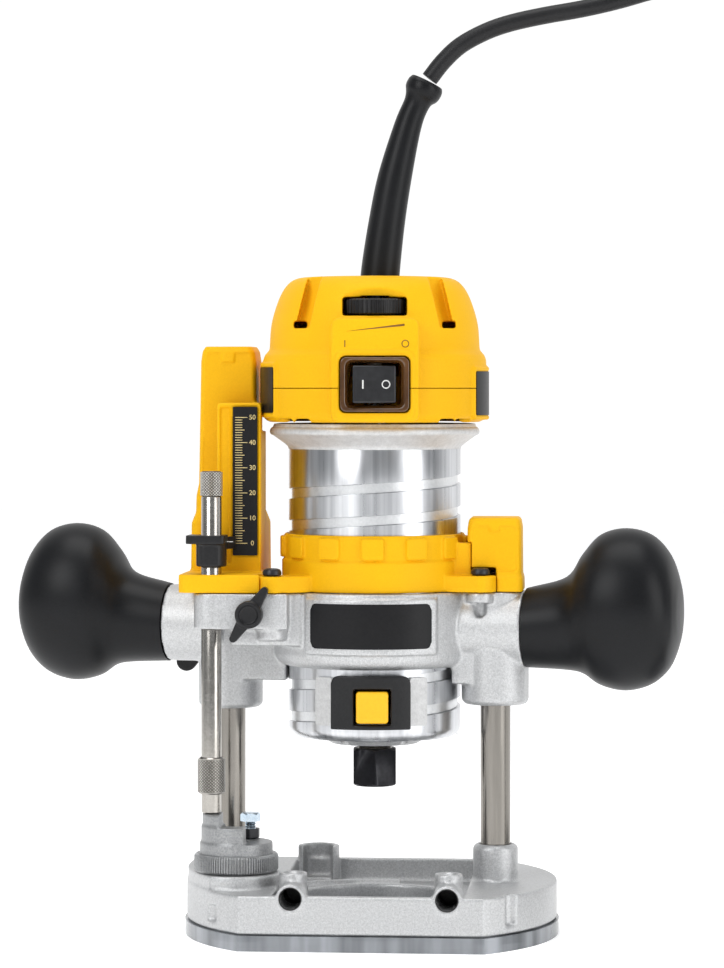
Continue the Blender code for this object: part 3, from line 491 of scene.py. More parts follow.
SLOT_OF_FINISH = {
    "cast": "cast_aluminium", "blasted": "cast_aluminium", "flange": "cast_aluminium",
    "bright": "cast_aluminium", "bore": "cast_aluminium", "turned": "turned_aluminium",
    "steel": "polished_steel", "rod_steel": "polished_steel", "satin": "polished_steel",
    "shade": "polished_steel", "zinc": "zinc_plated", "screw": "screw_steel", "spring": "spring_steel",
    "black_metal": "black_oxide", "brass": "brass", "bronze": "bronze_bush", "yellow": "yellow_plastic",
    "mark": "yellow_plastic", "button": "yellow_button", "black": "black_plastic", "gloss": "black_plastic",
    "label": "black_plastic", "print": "black_plastic", "white": "black_plastic", "rubber": "soft_rubber",
    "cord": "soft_rubber", "amber": "amber_boot", "clear": "clear_polycarbonate",
}


# ---------------------------------------------------------------- objects

def place(name, mesh, finish, body, nodes=(), slot=None, motor=False, bevel=0.0, sharp=35.0):
    """The piece's object, in the row frame, riding on its body and standing for its CAD nodes.

    Its slot is worked out from its finish, unless it's given, but is not put on the piece.
    """
    turn = Matrix.Rotation(math.radians(MOTOR_TURN), 4, "Z") if motor else Matrix.Identity(4)
    mesh.transform(Matrix.Translation(SPINDLE) @ turn @ Matrix.Scale(METRES, 4))
    mesh.name = name
    mesh.materials.clear()
    mesh.materials.append(FINISH[finish])
    mesh.shade_smooth()
    obj = bpy.data.objects.new(name, mesh)
    bpy.context.scene.collection.objects.link(obj)
    if bevel:
        edges = obj.modifiers.new("Bevel", "BEVEL")
        edges.width = bevel * METRES
        edges.segments = 3
        edges.limit_method = "ANGLE"
        edges.angle_limit = math.radians(30)
        edges.harden_normals = True
    elif sharp:
        mesh.set_sharp_from_angle(angle=math.radians(sharp))
    if body:
        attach(obj, body)
    if nodes:
        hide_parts(*([nodes] if isinstance(nodes, str) else nodes))
    slot = slot or SLOT_OF_FINISH.get(finish)
    return obj


def lettering(text, size, deep=0.15):
    """Plain figures as a mesh that lies on the ground, centred, and is this deep."""
    curve = bpy.data.curves.new("figures", "FONT")
    curve.body = text
    curve.size = size
    curve.align_x = "CENTER"
    curve.align_y = "CENTER"
    curve.extrude = deep
    return evaluated(bpy.data.objects.new("figures", curve))


# ---------------------------------------------------------------- camera and lights

def make_camera():
    data = bpy.data.cameras.new("photo_view")
    data.lens = 129.6
    data.sensor_width = 36
    data.shift_x = -0.0131
    data.shift_y = -0.0971
    data.clip_end = 20
    camera = bpy.data.objects.new("photo_view", data)
    bpy.context.scene.collection.objects.link(camera)
    distance, height = 1.4, 0.2165
    turn = math.radians(MOTOR_TURN)
    camera.location = SPINDLE + Vector((distance * math.sin(turn), -distance * math.cos(turn), height))
    camera.rotation_euler = (math.radians(90), 0, turn)
    bpy.context.scene.camera = camera


def area_light(name, at, towards, size, power, tint=(1, 1, 1)):
    data = bpy.data.lights.new(name, "AREA")
    data.shape = "RECTANGLE"
    data.size, data.size_y = size
    data.energy = power
    data.color = tint
    light = bpy.data.objects.new(name, data)
    bpy.context.scene.collection.objects.link(light)
    light.location = at
    light.rotation_euler = (Vector(towards) - Vector(at)).to_track_quat("-Z", "Y").to_euler()


def make_studio():
    """Plain soft light: three panels in front, and a pale room that is brighter behind the tool."""
    world = bpy.data.worlds.new("studio")
    bpy.context.scene.world = world
    world.use_nodes = True
    nodes, links = world.node_tree.nodes, world.node_tree.links
    nodes["Background"].inputs["Strength"].default_value = 1.0
    direction = nodes.new("ShaderNodeTexCoord")
    parts = nodes.new("ShaderNodeSeparateXYZ")
    level = nodes.new("ShaderNodeValToRGB")
    level.color_ramp.elements[0].position = 0.0
    level.color_ramp.elements[0].color = (0.30, 0.31, 0.32, 1)
    level.color_ramp.elements[1].position = 0.55
    level.color_ramp.elements[1].color = (1.03, 1.03, 1.03, 1)
    links.new(direction.outputs["Generated"], parts.inputs[0])
    links.new(parts.outputs["Y"], level.inputs["Fac"])
    links.new(level.outputs["Color"], nodes["Background"].inputs["Color"])
    bpy.context.scene.view_settings.view_transform = "Standard"
    area_light("key", (-0.75, -1.25, 0.95), (0, 0, 0.15), (0.7, 0.9), 10.5)
    area_light("fill", (1.25, -0.8, 0.55), (0, 0, 0.12), (0.7, 1.1), 7.5)
    area_light("top", (0.0, -0.2, 1.6), (0, 0, 0.1), (1.3, 0.9), 12)
    ground = place("floor", disc(5000, -30, 0, 96), "floor", None, sharp=30)


# ---------------------------------------------------------------- cord

CORD_RADIUS = 3.5
CORD_ROUTE = (
    (22.0, 1.7, 341.5), (27.4, 2.1, 348.4), (34.5, 2.7, 355.0), (44.6, 3.5, 360.5), (54.7, 4.3, 364.0),
    (67.8, 5.3, 366.9), (83.0, 6.5, 369.6), (97.0, 7.6, 372.8), (110.0, 8.6, 376.5), (121.0, 9.5, 379.1),
    (132.0, 10.4, 379.4), (142.6, 11.2, 376.2), (151.4, 11.9, 369.6), (157.8, 12.3, 360.0),
    (161.0, 12.4, 346.5), (162.0, 11.6, 328.0), (161.8, 9.4, 304.0), (161.0, 5.8, 274.0),
    (159.9, 1.2, 240.0), (158.6, -3.6, 206.0), (157.3, -8.6, 172.0), (156.1, -13.4, 140.0),
    (155.1, -17.8, 110.0), (154.4, -21.6, 82.0), (154.1, -24.0, 57.0), (154.0, -23.6, 37.2),
    (154.0, -21.1, 24.8), (154.0, -15.4, 15.0), (154.0, -8.4, 9.1), (154.0, -0.6, 5.8), (154.0, 7.6, 4.7),
)
COIL_AT = (206.2, 36.0)
COIL_TURNS = 7.5
COIL_RADII = (27.0, 52.2)
COIL_FLOOR = 4.7
COIL_RISE = 7.0
PLUG_AT = (258.4, 5.6, 7.8)
BOOT_STATIONS = (
    (1.9, 255.5, 7.8), (2.4, 265.0, 7.8), (4.9, 284.0, 7.3), (8.1, 302.0, 6.8), (13.3, 322.5, 5.5),
    (17.0, 331.8, 5.3), (18.9, 335.7, 7.2), (20.3, 338.5, 7.4), (21.2, 340.3, 6.6),
)


def coil_route():
    """Turns that wind in on the floor, climb half a turn at the middle, and wind out again on top."""
    steps = round(COIL_TURNS * 36)
    inner, outer = COIL_RADII
    points = []
    for i in range(steps + 1):
        turns = COIL_TURNS * i / steps
        from_middle = turns - COIL_TURNS / 2
        radius = inner + (outer - inner) * abs(from_middle) / (COIL_TURNS / 2)
        climb = min(max((from_middle + 0.35) / 0.7, 0), 1)
        climb = climb * climb * (3 - 2 * climb)
        angle = math.pi - 2 * math.pi * turns
        x = COIL_AT[0] + radius * math.cos(angle)
        y = COIL_AT[1] + radius * math.sin(angle)
        points.append((x, y, COIL_FLOOR + COIL_RISE * climb))
    return points


def make_cord():
    lead = smooth(CORD_ROUTE, 4)
    coil = coil_route()
    x, y, z = PLUG_AT
    tail = smooth([coil[-1], (x, y + 20, 11.0), (x, y + 10, 9.0), (x, y, z), (x, y - 6, z)], 4)
    path = lead + [Vector(p) for p in coil] + tail[1:]
    flex = place("flex", tube(path, CORD_RADIUS), "cord", None, ("cord_lead", "cord_coil"))
    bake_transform(flex)
    pieces = [*make_plug(), make_tie()]


def make_plug():
    """A moulded two-pin plug with a ribbed sleeve and a waist to grip."""
    ribs = [(0, 0), (4.2, 0)]
    for i in range(6):
        out, along = 4.6 + 0.22 * i, 3.4 * i
        ribs += [(out, 2 + along), (out, 4 + along), (4.0 + 0.22 * i, 4.4 + along)]
    ribs += [(6.2, 23), (6.2, 27), (0, 27)]
    neck = moved(turned(ribs, 40), tilt=90)
    outline = smooth([
        (-6.5, -24), (-8.5, -28), (-16.5, -36), (-17.3, -42), (-15.6, -47), (-17.2, -53), (-15, -54),
    ], 4)
    half = [(p.x, p.y) for p in outline]
    body = prism(half + [(-x, y) for x, y in reversed(half)], -7.4, 7.4)
    body = softened(joined(body, neck), 0.5, 4)
    plug = place("plug_body", moved(body, *PLUG_AT), "cord", "base", "plug", sharp=0)
    pins = [moved(rod(2.4, 53, 72.8, 32, 0.8), x, tilt=90) for x in (-9.5, 9.5)]
    return [plug, place("plug_pins", moved(beside(*pins), *PLUG_AT), "brass", "base")]


def make_tie():
    """A strap round the coil's bundle."""
    inner, outer = COIL_RADII
    left, right = inner - CORD_RADIUS - 0.3, outer + CORD_RADIUS + 0.3
    low, high = 0.9, COIL_FLOOR + COIL_RISE + CORD_RADIUS + 0.3
    strap = cut(
        upright((left - 0.8, right + 0.8, low - 0.7, high + 0.8, 3.4), -3.5, 3.5),
        upright((left, right, low, high, 2.8), -9, 9),
    )
    return place("coil_tie", moved(strap, *COIL_AT, turn=100), "cord", "base", bevel=0.2)


def make_boot():
    """The strain relief: a smooth taper with a thick rim and a dished mouth."""
    stations = smooth(BOOT_STATIONS, 6)
    path = [(x, 0, z) for x, z, _ in stations]
    boot = tube(path, [s[2] for s in stations], 40)
    place("strain_relief", boot, "rubber", "carriage", "cord_boot", motor=True, bevel=0.5)


# ---------------------------------------------------------------- base

def sole_screw_places():
    return [(52 * math.cos(math.radians(a)), 52 * math.sin(math.radians(a))) for a in (-25, 112, 205)]


def make_sub_base():
    plate = prism(flat_sided(BASE_RADIUS + 0.8, BASE_FRONT, BASE_BACK + 0.8), 0, SOLE_THICKNESS)
    holes = [disc(17.5, -1, 9)]
    for x, y in sole_screw_places():
        holes.append(prism(circle((x, y), 2.6, 32), -1, 9))
        holes.append(prism(circle((x, y), 4.9, 32), -1, 3.5))
    plate = cut(plate, *holes)
    place("clear_sole", plate, "clear", "base", "sub_base", bevel=0.7)


def base_shape():
    bottom = SOLE_THICKNESS + 0.3
    front = BASE_FRONT + 0.5
    body = prism(flat_sided(BASE_RADIUS, front, BASE_BACK), bottom, WALL_TOP)
    pocket = flat_sided(BASE_RADIUS - 4, front + 4, BASE_BACK - 4)
    between_posts = prism(rectangle(-35.5, 39, -90, 90, 8), 0, 90)
    body = cut(body, boolean(prism(pocket, FLOOR_TOP, 30), between_posts, "INTERSECT"))
    rim = boolean(sleeve(31, 36, FLOOR_TOP - 1, FLOOR_TOP + 1.6), prism(pocket, 0, 90), "INTERSECT")
    pad_outline = around(circle(TURRET_AT, 18.2), circle(on_line(LEFT_POST_AT), 11), [(-80, -25), (-80, 10)])
    pad = boolean(
        prism(flat_sided(BASE_RADIUS - 0.4, front + 0.4, BASE_BACK - 0.4), bottom + 1, PAD_TOP),
        prism(pad_outline, 0, 90), "INTERSECT",
    )
    left_boss = moved(rod(9.4, 10, 30, 64, 1.0), *on_line(LEFT_POST_AT))
    right_boss = moved(rod(9.0, 10, 36, 64, 1.4), *on_line(RIGHT_POST_AT))
    body = joined(body, rim, pad, left_boss, right_boss)
    for x in FENCE_RODS_AT:
        collar = moved(rod(5.7, 0, 15, 48), x, BASE_FRONT + 0.2, FENCE_ROD_HEIGHT, tilt=-90)
        boss = moved(rod(5.5, FLOOR_TOP - 1, 29.2, 48), x, FENCE_SCREWS_BACK)
        body = joined(body, collar, boss)
    saddle = cut(
        prism(circle((-27, 47.5), 8.6), FLOOR_TOP - 1, 27.5),
        prism(circle((-27, 47.5), 6.4), FLOOR_TOP + 2, 40),
        prism(rectangle(-40, -21, 30, 46), FLOOR_TOP, 40),
    )
    ridge = smooth([(-39, 20, 0), (-30, 30, 0), (-20, 34.5, 0), (-8, 37.5, 0), (8, 37.5, 0)], 5)
    ridge = tube([(p.x, p.y, FLOOR_TOP + 1.4) for p in ridge], 1.5)
    body = joined(body, saddle, ridge)
    cutters = [disc(33.0, 0, 90, 96)]
    for x in FENCE_RODS_AT:
        cutters.append(moved(rod(4.15, -5, 25), x, BASE_FRONT, FENCE_ROD_HEIGHT, tilt=-90))
        cutters.append(moved(rod(2.9, 20, 40), x, FENCE_SCREWS_BACK))
        cutters.append(moved(rod(4.0, 28.2, 40), x, FENCE_SCREWS_BACK))
    for angle, top in ((-39, 40), (217, 16)):
        x, y = arc(BASE_CENTRE, BASE_RADIUS + 0.6, angle, angle, 1)[0]
        cutters.append(moved(rod(3.1, 9.5, top), x, y))
    for at in (LEFT_POST_AT, RIGHT_POST_AT):
        cutters.append(moved(rod(POST_RADIUS + 0.3, 8, 60), *on_line(at)))
    cutters.append(moved(rod(3.4, 11, 40), *TURRET_AT))
    return cut(body, *cutters)


def make_springs():
    """The springs in the hollow posts, as fixed coils that don't close up as the carriage comes down."""
    low, radius = 15.2, 3.2
    for side, at, top, turns in (("left", LEFT_POST_AT, 230.0, 38), ("right", RIGHT_POST_AT, 162.0, 27)):
        x, y = on_line(at)
        steps = 20 * turns
        path = []
        for i in range(steps + 1):
            angle = 2 * math.pi * turns * i / steps
            across, along = radius * math.cos(angle), radius * math.sin(angle)
            path.append((x + across, y + along, low + (top - low) * i / steps))
        coil = place(f"{side}_plunge_spring", tube(path, 0.7, 8), "spring", None, f"{side}_spring")
        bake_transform(coil)


def make_fence_rod_bores():
    """A dark threaded sleeve in each of the two holes that take the fence's rods: painted shade inside the
    holes.
    """
    bores = []
    for x in FENCE_RODS_AT:
        wall = cut(rod(4.45, -0.2, 25.4, 40), threaded(4.35, -1, 24.9, 1.4, 40))
        bores.append(moved(wall, x, BASE_FRONT + 0.4, FENCE_ROD_HEIGHT, tilt=-90))
    # The sleeves' dark colour is painted shade inside the holes.
    place("fence_rod_bores", beside(*bores), "bore", "base", sharp=20)


def make_base():
    make_sub_base()
    body = softened(base_shape(), 0.62, 6, 0.5)
    place("base_body", body, "cast", "base", "base_casting", sharp=0)
    for name, at, top in (("left", LEFT_POST_AT, 176), ("right", RIGHT_POST_AT, 107.5)):
        outline = [(0, 8.3), (5.5, 8.3), (6, 8.8), (6, top - 0.6), (5.4, top), (4.4, top), (4.4, 14), (0, 14)]
        post = moved(turned(outline, 64), *on_line(at))
        place(f"{name}_guide_post", post, "steel", "base", f"{name}_post")
    for number, (x, y) in enumerate(sole_screw_places(), 1):
        head = turned([(0, 0.8), (4.0, 0.8), (4.4, 1.2), (4.4, 2.0), (2.2, 3.3), (2.2, 11), (0, 11)], 40)
        head = cut(head, prism(rectangle(-0.7, 0.7, -5, 5), 0, 1.7))
        place(f"sole_screw_{number}", moved(head, x, y), "screw", "base", f"sub_base_screw_{number}")
    for side, x in zip(("left", "right"), FENCE_RODS_AT):
        screw = cut(rod(2.5, 24.8, 28.2, 32, 0.4), prism(rectangle(-0.5, 0.5, -5, 5), 26.8, 40))
        screw = moved(screw, x, FENCE_SCREWS_BACK)
        place(f"fence_screw_{side}", screw, "screw", "base", f"fence_rod_screw_{side}")
    make_fence_rod_bores()
    pivot = cut(
        turned([(0, 12), (3, 12), (3, 31.2), (5, 31.2), (5, 33.6), (4.2, 34.4), (0, 34.4)], 40),
        prism(rectangle(-0.8, 0.8, -9, 9), 33, 40),
    )
    place("turret_screw", moved(pivot, *TURRET_AT), "screw", "base", "turret_pivot_screw")


# ---------------------------------------------------------------- depth stop

def threaded(radius, low, high, pitch=1.0, sides=24):
    """A screw thread as a ridged rod."""
    outline = [(0, low)]
    steps = int((high - low) / pitch)
    for i in range(steps):
        outline += [(radius - 0.32, low + pitch * i), (radius, low + pitch * (i + 0.5))]
    outline += [(radius - 0.32, low + pitch * steps), (0, low + pitch * steps)]
    return turned(outline, sides)


def make_turret():
    low, middle, high = 38.5, 45.0, 49.7
    second = boolean(disc(13.8, low - 3, middle), prism(rectangle(-20, 4.3, -20, 3), 0, 90),
                     "INTERSECT")
    third = boolean(disc(13.3, middle - 3, high), prism(rectangle(-20, -5.5, -20, 3), 0, 90),
                    "INTERSECT")
    steps = joined(disc(14.4, 33, low), second, third)
    bores = [rod(5.3, 30.9, 60), moved(rod(2.6, 30.5, 60), 4.6, 9.0)]
    steps = softened(cut(steps, *bores), 0.4, 5, 0.4)
    place("turret_steps", moved(steps, *TURRET_AT), "blasted", "turret", "depth_turret", sharp=0)
    outline = gear((0, 0), 16.0, 16.6, 96)
    ring = lofted([
        [(x * s, y * s, z) for x, y in outline]
        for z, s in ((27.0, 0.955), (27.8, 1), (33.2, 1), (34.0, 0.955))
    ])
    ring = cut(ring, rod(3.4, 20, 60), rod(5.3, 30.9, 60), moved(rod(2.6, 30.5, 60), 4.6, 9.0))
    place("turret_ring", moved(ring, *TURRET_AT), "blasted", "turret", "depth_turret", sharp=25)
    at = (TURRET_AT[0] + 4.6, TURRET_AT[1] + 9.0)
    head = boolean(
        prism(hexagon((0, 0), 7.0, 12), 45.4, 48.8),
        turned([(0, 45.4), (3.9, 45.4), (4.1, 45.8), (4.1, 48.0), (3.3, 48.8), (0, 48.8)], 48), "INTERSECT"
    )
    place("stop_screw_head", moved(head, *at), "zinc", "turret", "turret_stop_screw", bevel=0.1)
    place("stop_screw_thread", moved(threaded(2.2, 30.9, 46.0), *at), "zinc", "turret")
    nut = cut(prism(hexagon((0, 0), 7.0, 30), 38.8, 42.6), rod(2.55, 30, 60))
    place("stop_screw_nut", moved(nut, *at), "black_metal", "turret", "turret_lock_nut", bevel=0.4)


def knurled(radius, low, high, count=30, rows=10, deep=0.42, bore=0.0):
    """A diamond knurl: points raised on a staggered grid, with the valleys running crosswise between them.

    With a bore it's a sleeve, and without one it's solid.
    """
    bm = bmesh.new()
    rings = []
    for row in range(2 * rows + 1):
        z = low + (high - low) * row / (2 * rows)
        ring = []
        for k in range(2 * count):
            out = radius if (row + k) % 2 == 0 else radius - deep
            angle = math.pi * k / count
            ring.append(bm.verts.new((out * math.cos(angle), out * math.sin(angle), z)))
        rings.append(ring)
    for row, (lower, upper) in enumerate(zip(rings, rings[1:])):
        for k in range(2 * count):
            j = (k + 1) % (2 * count)
            a, b, c, d = lower[k], lower[j], upper[j], upper[k]
            split = ((a, b, d), (b, c, d)) if (row + k) % 2 == 0 else ((a, b, c), (a, c, d))
            for corners in split:
                bm.faces.new(corners)
    if bore:
        hole = circle((0, 0), bore, 2 * count)
        inner = [[bm.verts.new((x, y, z)) for x, y in hole] for z in (low, high)]
        loop = [rings[0], inner[0], inner[1], rings[-1]]
        for one, other in zip(loop, loop[1:]):
            for k in range(2 * count):
                j = (k + 1) % (2 * count)
                bm.faces.new((one[k], one[j], other[j], other[k]))
    else:
        bm.faces.new(rings[0])
        bm.faces.new(rings[-1])
    return finished(bm)


def make_depth_rod():
    x, y = ROD_AT
    shaft = turned([(0, 61.5), (3.6, 61.5), (4, 62), (4, 174.2), (3.8, 174.5), (0, 174.5)], 64)
    place("stop_rod_shaft", moved(shaft, x, y), "rod_steel", "stop_rod", "depth_rod")
    head = knurled(4.5, 174.9, 184.2, 20, 8)
    # A dark sleeve under the knurl: painted shade in its valleys.
    core = joined(rod(4.22, 175.0, 184.1, 64), rod(3.9, 174.4, 184.5, 48, 0.4))
    place("stop_rod_valley_shade", moved(core, x, y), "shade", "stop_rod")
    place("stop_rod_head", moved(head, x, y), "satin", "stop_rod", sharp=4)
    nut = joined(rod(5.0, 57.5, 72.0, 64, 0.5), rod(3.9, 50.0, 58, 48, 0.4))
    nut = cut(nut, rod(ROD_RADIUS + 0.3, 61.0, 90))
    place("adjuster_nut", moved(nut, x, y), "rod_steel", "stop_adjuster", "fine_adjuster")
    grip = knurled(5.6, 58.2, 71.3, 25, 11, bore=4.9)
    place("adjuster_knurl", moved(grip, x, y), "satin", "stop_adjuster", sharp=4)
    # A dark sleeve under the knurl: painted shade in its valleys.
    valley = sleeve(ROD_RADIUS + 0.4, 5.33, 58.4, 71.1)
    place("adjuster_valley_shade", moved(valley, x, y), "shade", "stop_adjuster")
    pointer = joined(
        rod(6.0, 147.0, 157.0, 64, 0.4),
        prism(rectangle(-9.6, 6.0, -6.5, 5.5, 2), 156.0, 159.4),
        prism([(-0.5, 1), (5.5, 2), (8.3, 10.6), (8.3, 12.0), (5.6, 12.0), (-0.5, 5)], 153.6, 158.4),
    )
    scoops = [moved(rod(5.0, 5.2, 9), z=151.0, tilt=90), moved(rod(6.2, -9, -5.2), z=152.2, tilt=90)]
    pointer = cut(pointer, rod(ROD_RADIUS + 0.3, 140, 170), *scoops)
    pointer = softened(pointer, 0.35, 4, 0.4)
    place("depth_pointer", moved(pointer, x, y), "black", "stop_pointer", "pointer", sharp=0)
    hair = moved(prism(rectangle(5.8, 8.4, -1.0, -0.7), 0, 0.3), x, y + 1.6, SCALE_ZERO + 1.0)
    place("pointer_line", hair, "white", "stop_pointer")


# ---------------------------------------------------------------- carriage

def carriage_shape():
    above = CASTING_TOP + 2
    ring = turned(
        [(BORE_RADIUS - 2, RING_BOTTOM), (35.0, RING_BOTTOM)]
        + arc((34.5, RING_BOTTOM + 5.5), 5.5, -80, 0, 8)
        + [(RING_RADIUS, above), (BORE_RADIUS - 2, above)],
    )
    left = moved(rod(13.0, 88.2, above + 0.8, 64, 1.6), *on_line(LEFT_POST_AT))
    right = moved(rod(13.5, 91.6, above + 0.7, 64, 1.6), *on_line(RIGHT_POST_AT))
    struts = [
        moved(prism(rectangle(LEFT_POST_AT, -34, -11, 11), 100, above - 0.3), turn=LINE_TURN),
        moved(prism(rectangle(34, RIGHT_POST_AT, -12, 12), 100, above - 0.4), turn=LINE_TURN),
    ]
    necks = [
        moved(rod(NECK_RADIUS, 0, length, 64), *on_line(start), HANDLE_HEIGHT, turn=90 + LINE_TURN, tilt=90)
        for start, length in (
            (LEFT_HANDLE_AT + 0.3, LEFT_POST_AT - LEFT_HANDLE_AT),
            (36.5, RIGHT_HANDLE_AT - 34.5),
        )
    ]
    bracket = [
        prism(around(circle(ROD_AT, 6.9), circle(on_line(LEFT_POST_AT), 12.6)), 122.4, above - 0.5),
        prism(around(circle(ROD_AT, 6.7), rectangle(-45, -31.5, -38, -20)), 122.6, above - 0.6),
        prism(around(rectangle(-55, -50, -30, 5), rectangle(-35, -27, -31, 5)), 115.6, above - 0.7),
    ]
    lugs = [
        moved(rod(5.8, 118, above - 0.1), *LUG_SCREWS[0]),
        moved(rod(5.4, 132.6, above - 0.2), *LUG_SCREWS[1]),
        moved(rod(6.0, -15, -0.5), *LEVER_AT, tilt=-90),
        moved(prism(rectangle(-10, 10, 36, 50, 2), 112, 131)),
    ]
    frame_arc = arc((0, 0), RING_RADIUS + 1.2, -127.5, -48.5, 40)
    frame_arc += arc((0, 0), RING_RADIUS - 2, -48.5, -127.5, 40)
    body = joined(ring, left, right, *struts, *necks, *bracket, *lugs, prism(frame_arc, 112.8, 134.6))
    holes = [
        moved(prism(rectangle(-78.5, 90, -60, 60), CASTING_TOP, 150), turn=LINE_TURN),
        moved(prism(rectangle(RIGHT_HANDLE_AT - 0.3, 90, -60, 60), 70, 160), turn=LINE_TURN),
        disc(BORE_RADIUS, 80, 150, 96),
        moved(rod(8.8, 80, 150), *on_line(LEFT_POST_AT)),
        moved(rod(8.8, 80, 150), *on_line(RIGHT_POST_AT)),
        moved(rod(ROD_RADIUS + 0.3, 100, 150), *ROD_AT),
        moved(rod(6.0, 100, 128), *ROD_AT),
        moved(rod(2.4, -1, 11), *WING_AT, tilt=-90),
        *[moved(rod(2.2, 126.8, 150), *at) for at in LUG_SCREWS],
        moved(rod(3.3, -8.5, 5), *LEVER_AT, tilt=-90),
        prism(rectangle(-1.2, 1.2, 30, 60), 100, 150),
        moved(rod(2.6, 0, 30), -15, LATCH_AT[1], LATCH_BOLT_HEIGHT, turn=90, tilt=90),
    ]
    return cut(body, *holes)


def make_label():
    """The black plate on the front of the ring, in a rim of lighter aluminium that is painted highlight along
    the plate's edge. It's left plain.
    """
    plate = curved_panel(RING_RADIUS + 1.4, RING_RADIUS + 0.2, -123.2, -52.8, 115.2, 132.8, 2.6)
    place("name_plate", plate, "label", "carriage", "label_plate")
    # The rim's light colour is painted highlight along the edge round the plate.
    rim = curved_panel(RING_RADIUS + 1.1, RING_RADIUS, -124.3, -51.7, 114.3, 133.7, 3.2)
    place("name_plate_rim", rim, "bright", "carriage")


def curved_panel(outer, inner, first, last, low, high, corner):
    """A curved plate with round corners, cut from a sleeve by a drawn outline seen from its middle."""
    middle = (first + last) / 2
    half = (last - first) / 2
    strips = 48
    rings = []
    for i in range(strips + 1):
        along = -half + 2 * half * i / strips
        reach = (half - abs(along)) * math.pi / 180 * outer
        drop = 0.0
        if reach < corner:
            drop = corner - math.sqrt(max(corner * corner - (corner - reach) ** 2, 0))
        a = math.radians(middle + along)
        rings.append([
            (inner * math.cos(a), inner * math.sin(a), low + drop),
            (outer * math.cos(a), outer * math.sin(a), low + drop),
            (outer * math.cos(a), outer * math.sin(a), high - drop),
            (inner * math.cos(a), inner * math.sin(a), high - drop),
        ])
    return lofted(rings)


def handle(start, side):
    """A mushroom-shaped grip on its neck's line. Its stations are (distance, top, bottom)."""
    stations = smooth((
        (0.0, 137.9, 106.3), (16.0, 142.6, 105.6), (23.0, 152.3, 104.2), (30.0, 159.6, 99.8),
        (40.0, 162.0, 97.9), (50.0, 159.4, 100.6), (57.0, 152.0, 107.0), (60.6, 142.0, 116.0),
        (61.6, 136.0, 122.0), (61.9, 131.0, 127.0),
    ), 6)
    rings = []
    for out, top, bottom in stations:
        tall = (top - bottom) / 2
        wide = NECK_RADIUS + 0.3 + (tall - 15.8) * 0.58
        if out > 50:
            wide = min(wide, tall)
        x, y = on_line(start + side * out)
        rings.append([
            (
                x - wide * math.cos(a) * math.sin(math.radians(LINE_TURN)),
                y + wide * math.cos(a) * math.cos(math.radians(LINE_TURN)),
                (top + bottom) / 2 + tall * math.sin(a),
            )
            for a in (2 * math.pi * k / 72 for k in range(72))
        ])
    return lofted(rings)


def collar_shape():
    low = COLLAR_BOTTOM
    inner = BORE_RADIUS - 1
    outline = [(inner, low), (36.9, low), (COLLAR_RADIUS, low + 0.4), (COLLAR_RADIUS, 148.6)]
    outline += [(36.3, 149.4), (36.3, 158.2), (35.9, 159.2), (35.4, COLLAR_TOP), (inner, COLLAR_TOP)]
    ring = turned(outline, 128)
    lugs = [
        prism(around(circle(LUG_SCREWS[0], 6.2), circle(LUG_ROOTS[0], 8)), low, 143.2),
        prism(around(circle(LUG_SCREWS[1], 6.2), circle(LUG_ROOTS[1], 8)), low, 143.2),
        prism(rectangle(32, 39.6, -17, -13), low, 156),
    ]
    middles = [-86.8 + i * 360 / 13 for i in range(13)]
    pads = [curved_panel(37.9, 36, middle - 7, middle + 7, 149.9, 158.3, 1.2) for middle in middles]
    body = joined(ring, *lugs, *pads)
    return cut(
        body,
        disc(BORE_RADIUS, 100, 200, 128),
        *[moved(rod(2.3, 100, 200, 24), *at) for at in LUG_SCREWS],
    )


def box_rings(levels, y_centre):
    """Rounded rectangles at heights: (height, left, right, half depth, corner)."""
    return [
        [(x, y, z) for x, y in rectangle(left, right, y_centre - deep, y_centre + deep, corner, 8)]
        for z, left, right, deep, corner in levels
    ]


def front_recess(left, right, low, high, front, deep, corner):
    """What a shallow panel in an upright face takes away."""
    outline = rectangle(left, right, low, high, corner, 8)
    return facing_front(prism(outline, -front - deep, -front + 3))


def scale_tower_shape():
    low = COLLAR_BOTTOM
    y = on_line(LEFT_POST_AT)[1]
    tower = lofted(box_rings((
        (low + 2, -73.0, -45.6, 14.2, 4), (174, -72.0, -46.4, 14.0, 4), (179, -71.0, -47.2, 13.6, 4),
        (228, -70.2, -47.8, 13.2, 4), (232, -69.6, -48.4, 12.8, 3.5), (TOWER_TOP, -68.4, -49.6, 11.9, 3.0),
    ), y))
    inside = ((low - 5, -70.6, -48.2, 11.6, 3), (TOWER_TOP - 2.6, -68.0, -50.2, 10.8, 3))
    hollow = lofted(box_rings(inside, y))
    foot = prism(around(rectangle(-74.6, -50, -38, 23, 3), rectangle(-50, -42.5, -38, 5)), low, 144)
    flare = lofted(box_rings((
        (142, -74.2, -44.0, 14.4, 4), (163, -73.9, -44.2, 14.4, 4), (168, -71.9, -46.2, 14.2, 4),
    ), y))
    scale = upright((-61.5, -44, low + 3, 211.4, 1.4, 5), -1, 18.3)
    body = joined(tower, foot, flare, scale)
    lip = front_recess(-69.4, -48.6, 175, 231.6, y - 13.0, 0.7, 3.0)
    tab = moved(prism(rectangle(-61.4, -56.4, -20, 20, 0.5), 227.8, 240), 0, y)
    lip = cut(lip, tab)
    channel = upright((-60.3, -56.2, 147.5, 209.8, 0.8), 16.9, 20)
    seat = upright((-55.2, -45.1, 150.6, 210.0, 0.3), 17.7, 20)
    return cut(
        body, hollow, lip, channel, seat,
        disc(COLLAR_RADIUS + 0.5, 100, 240, 96),
        disc(CAP_RADIUS + 0.8, 200, 240, 96),
        prism(around(circle(LUG_SCREWS[0], 6.5), circle(LUG_ROOTS[0], 8.3)), 100, 200),
        prism(circle(ROD_AT, 4.6, 40), 100, 200),
    )


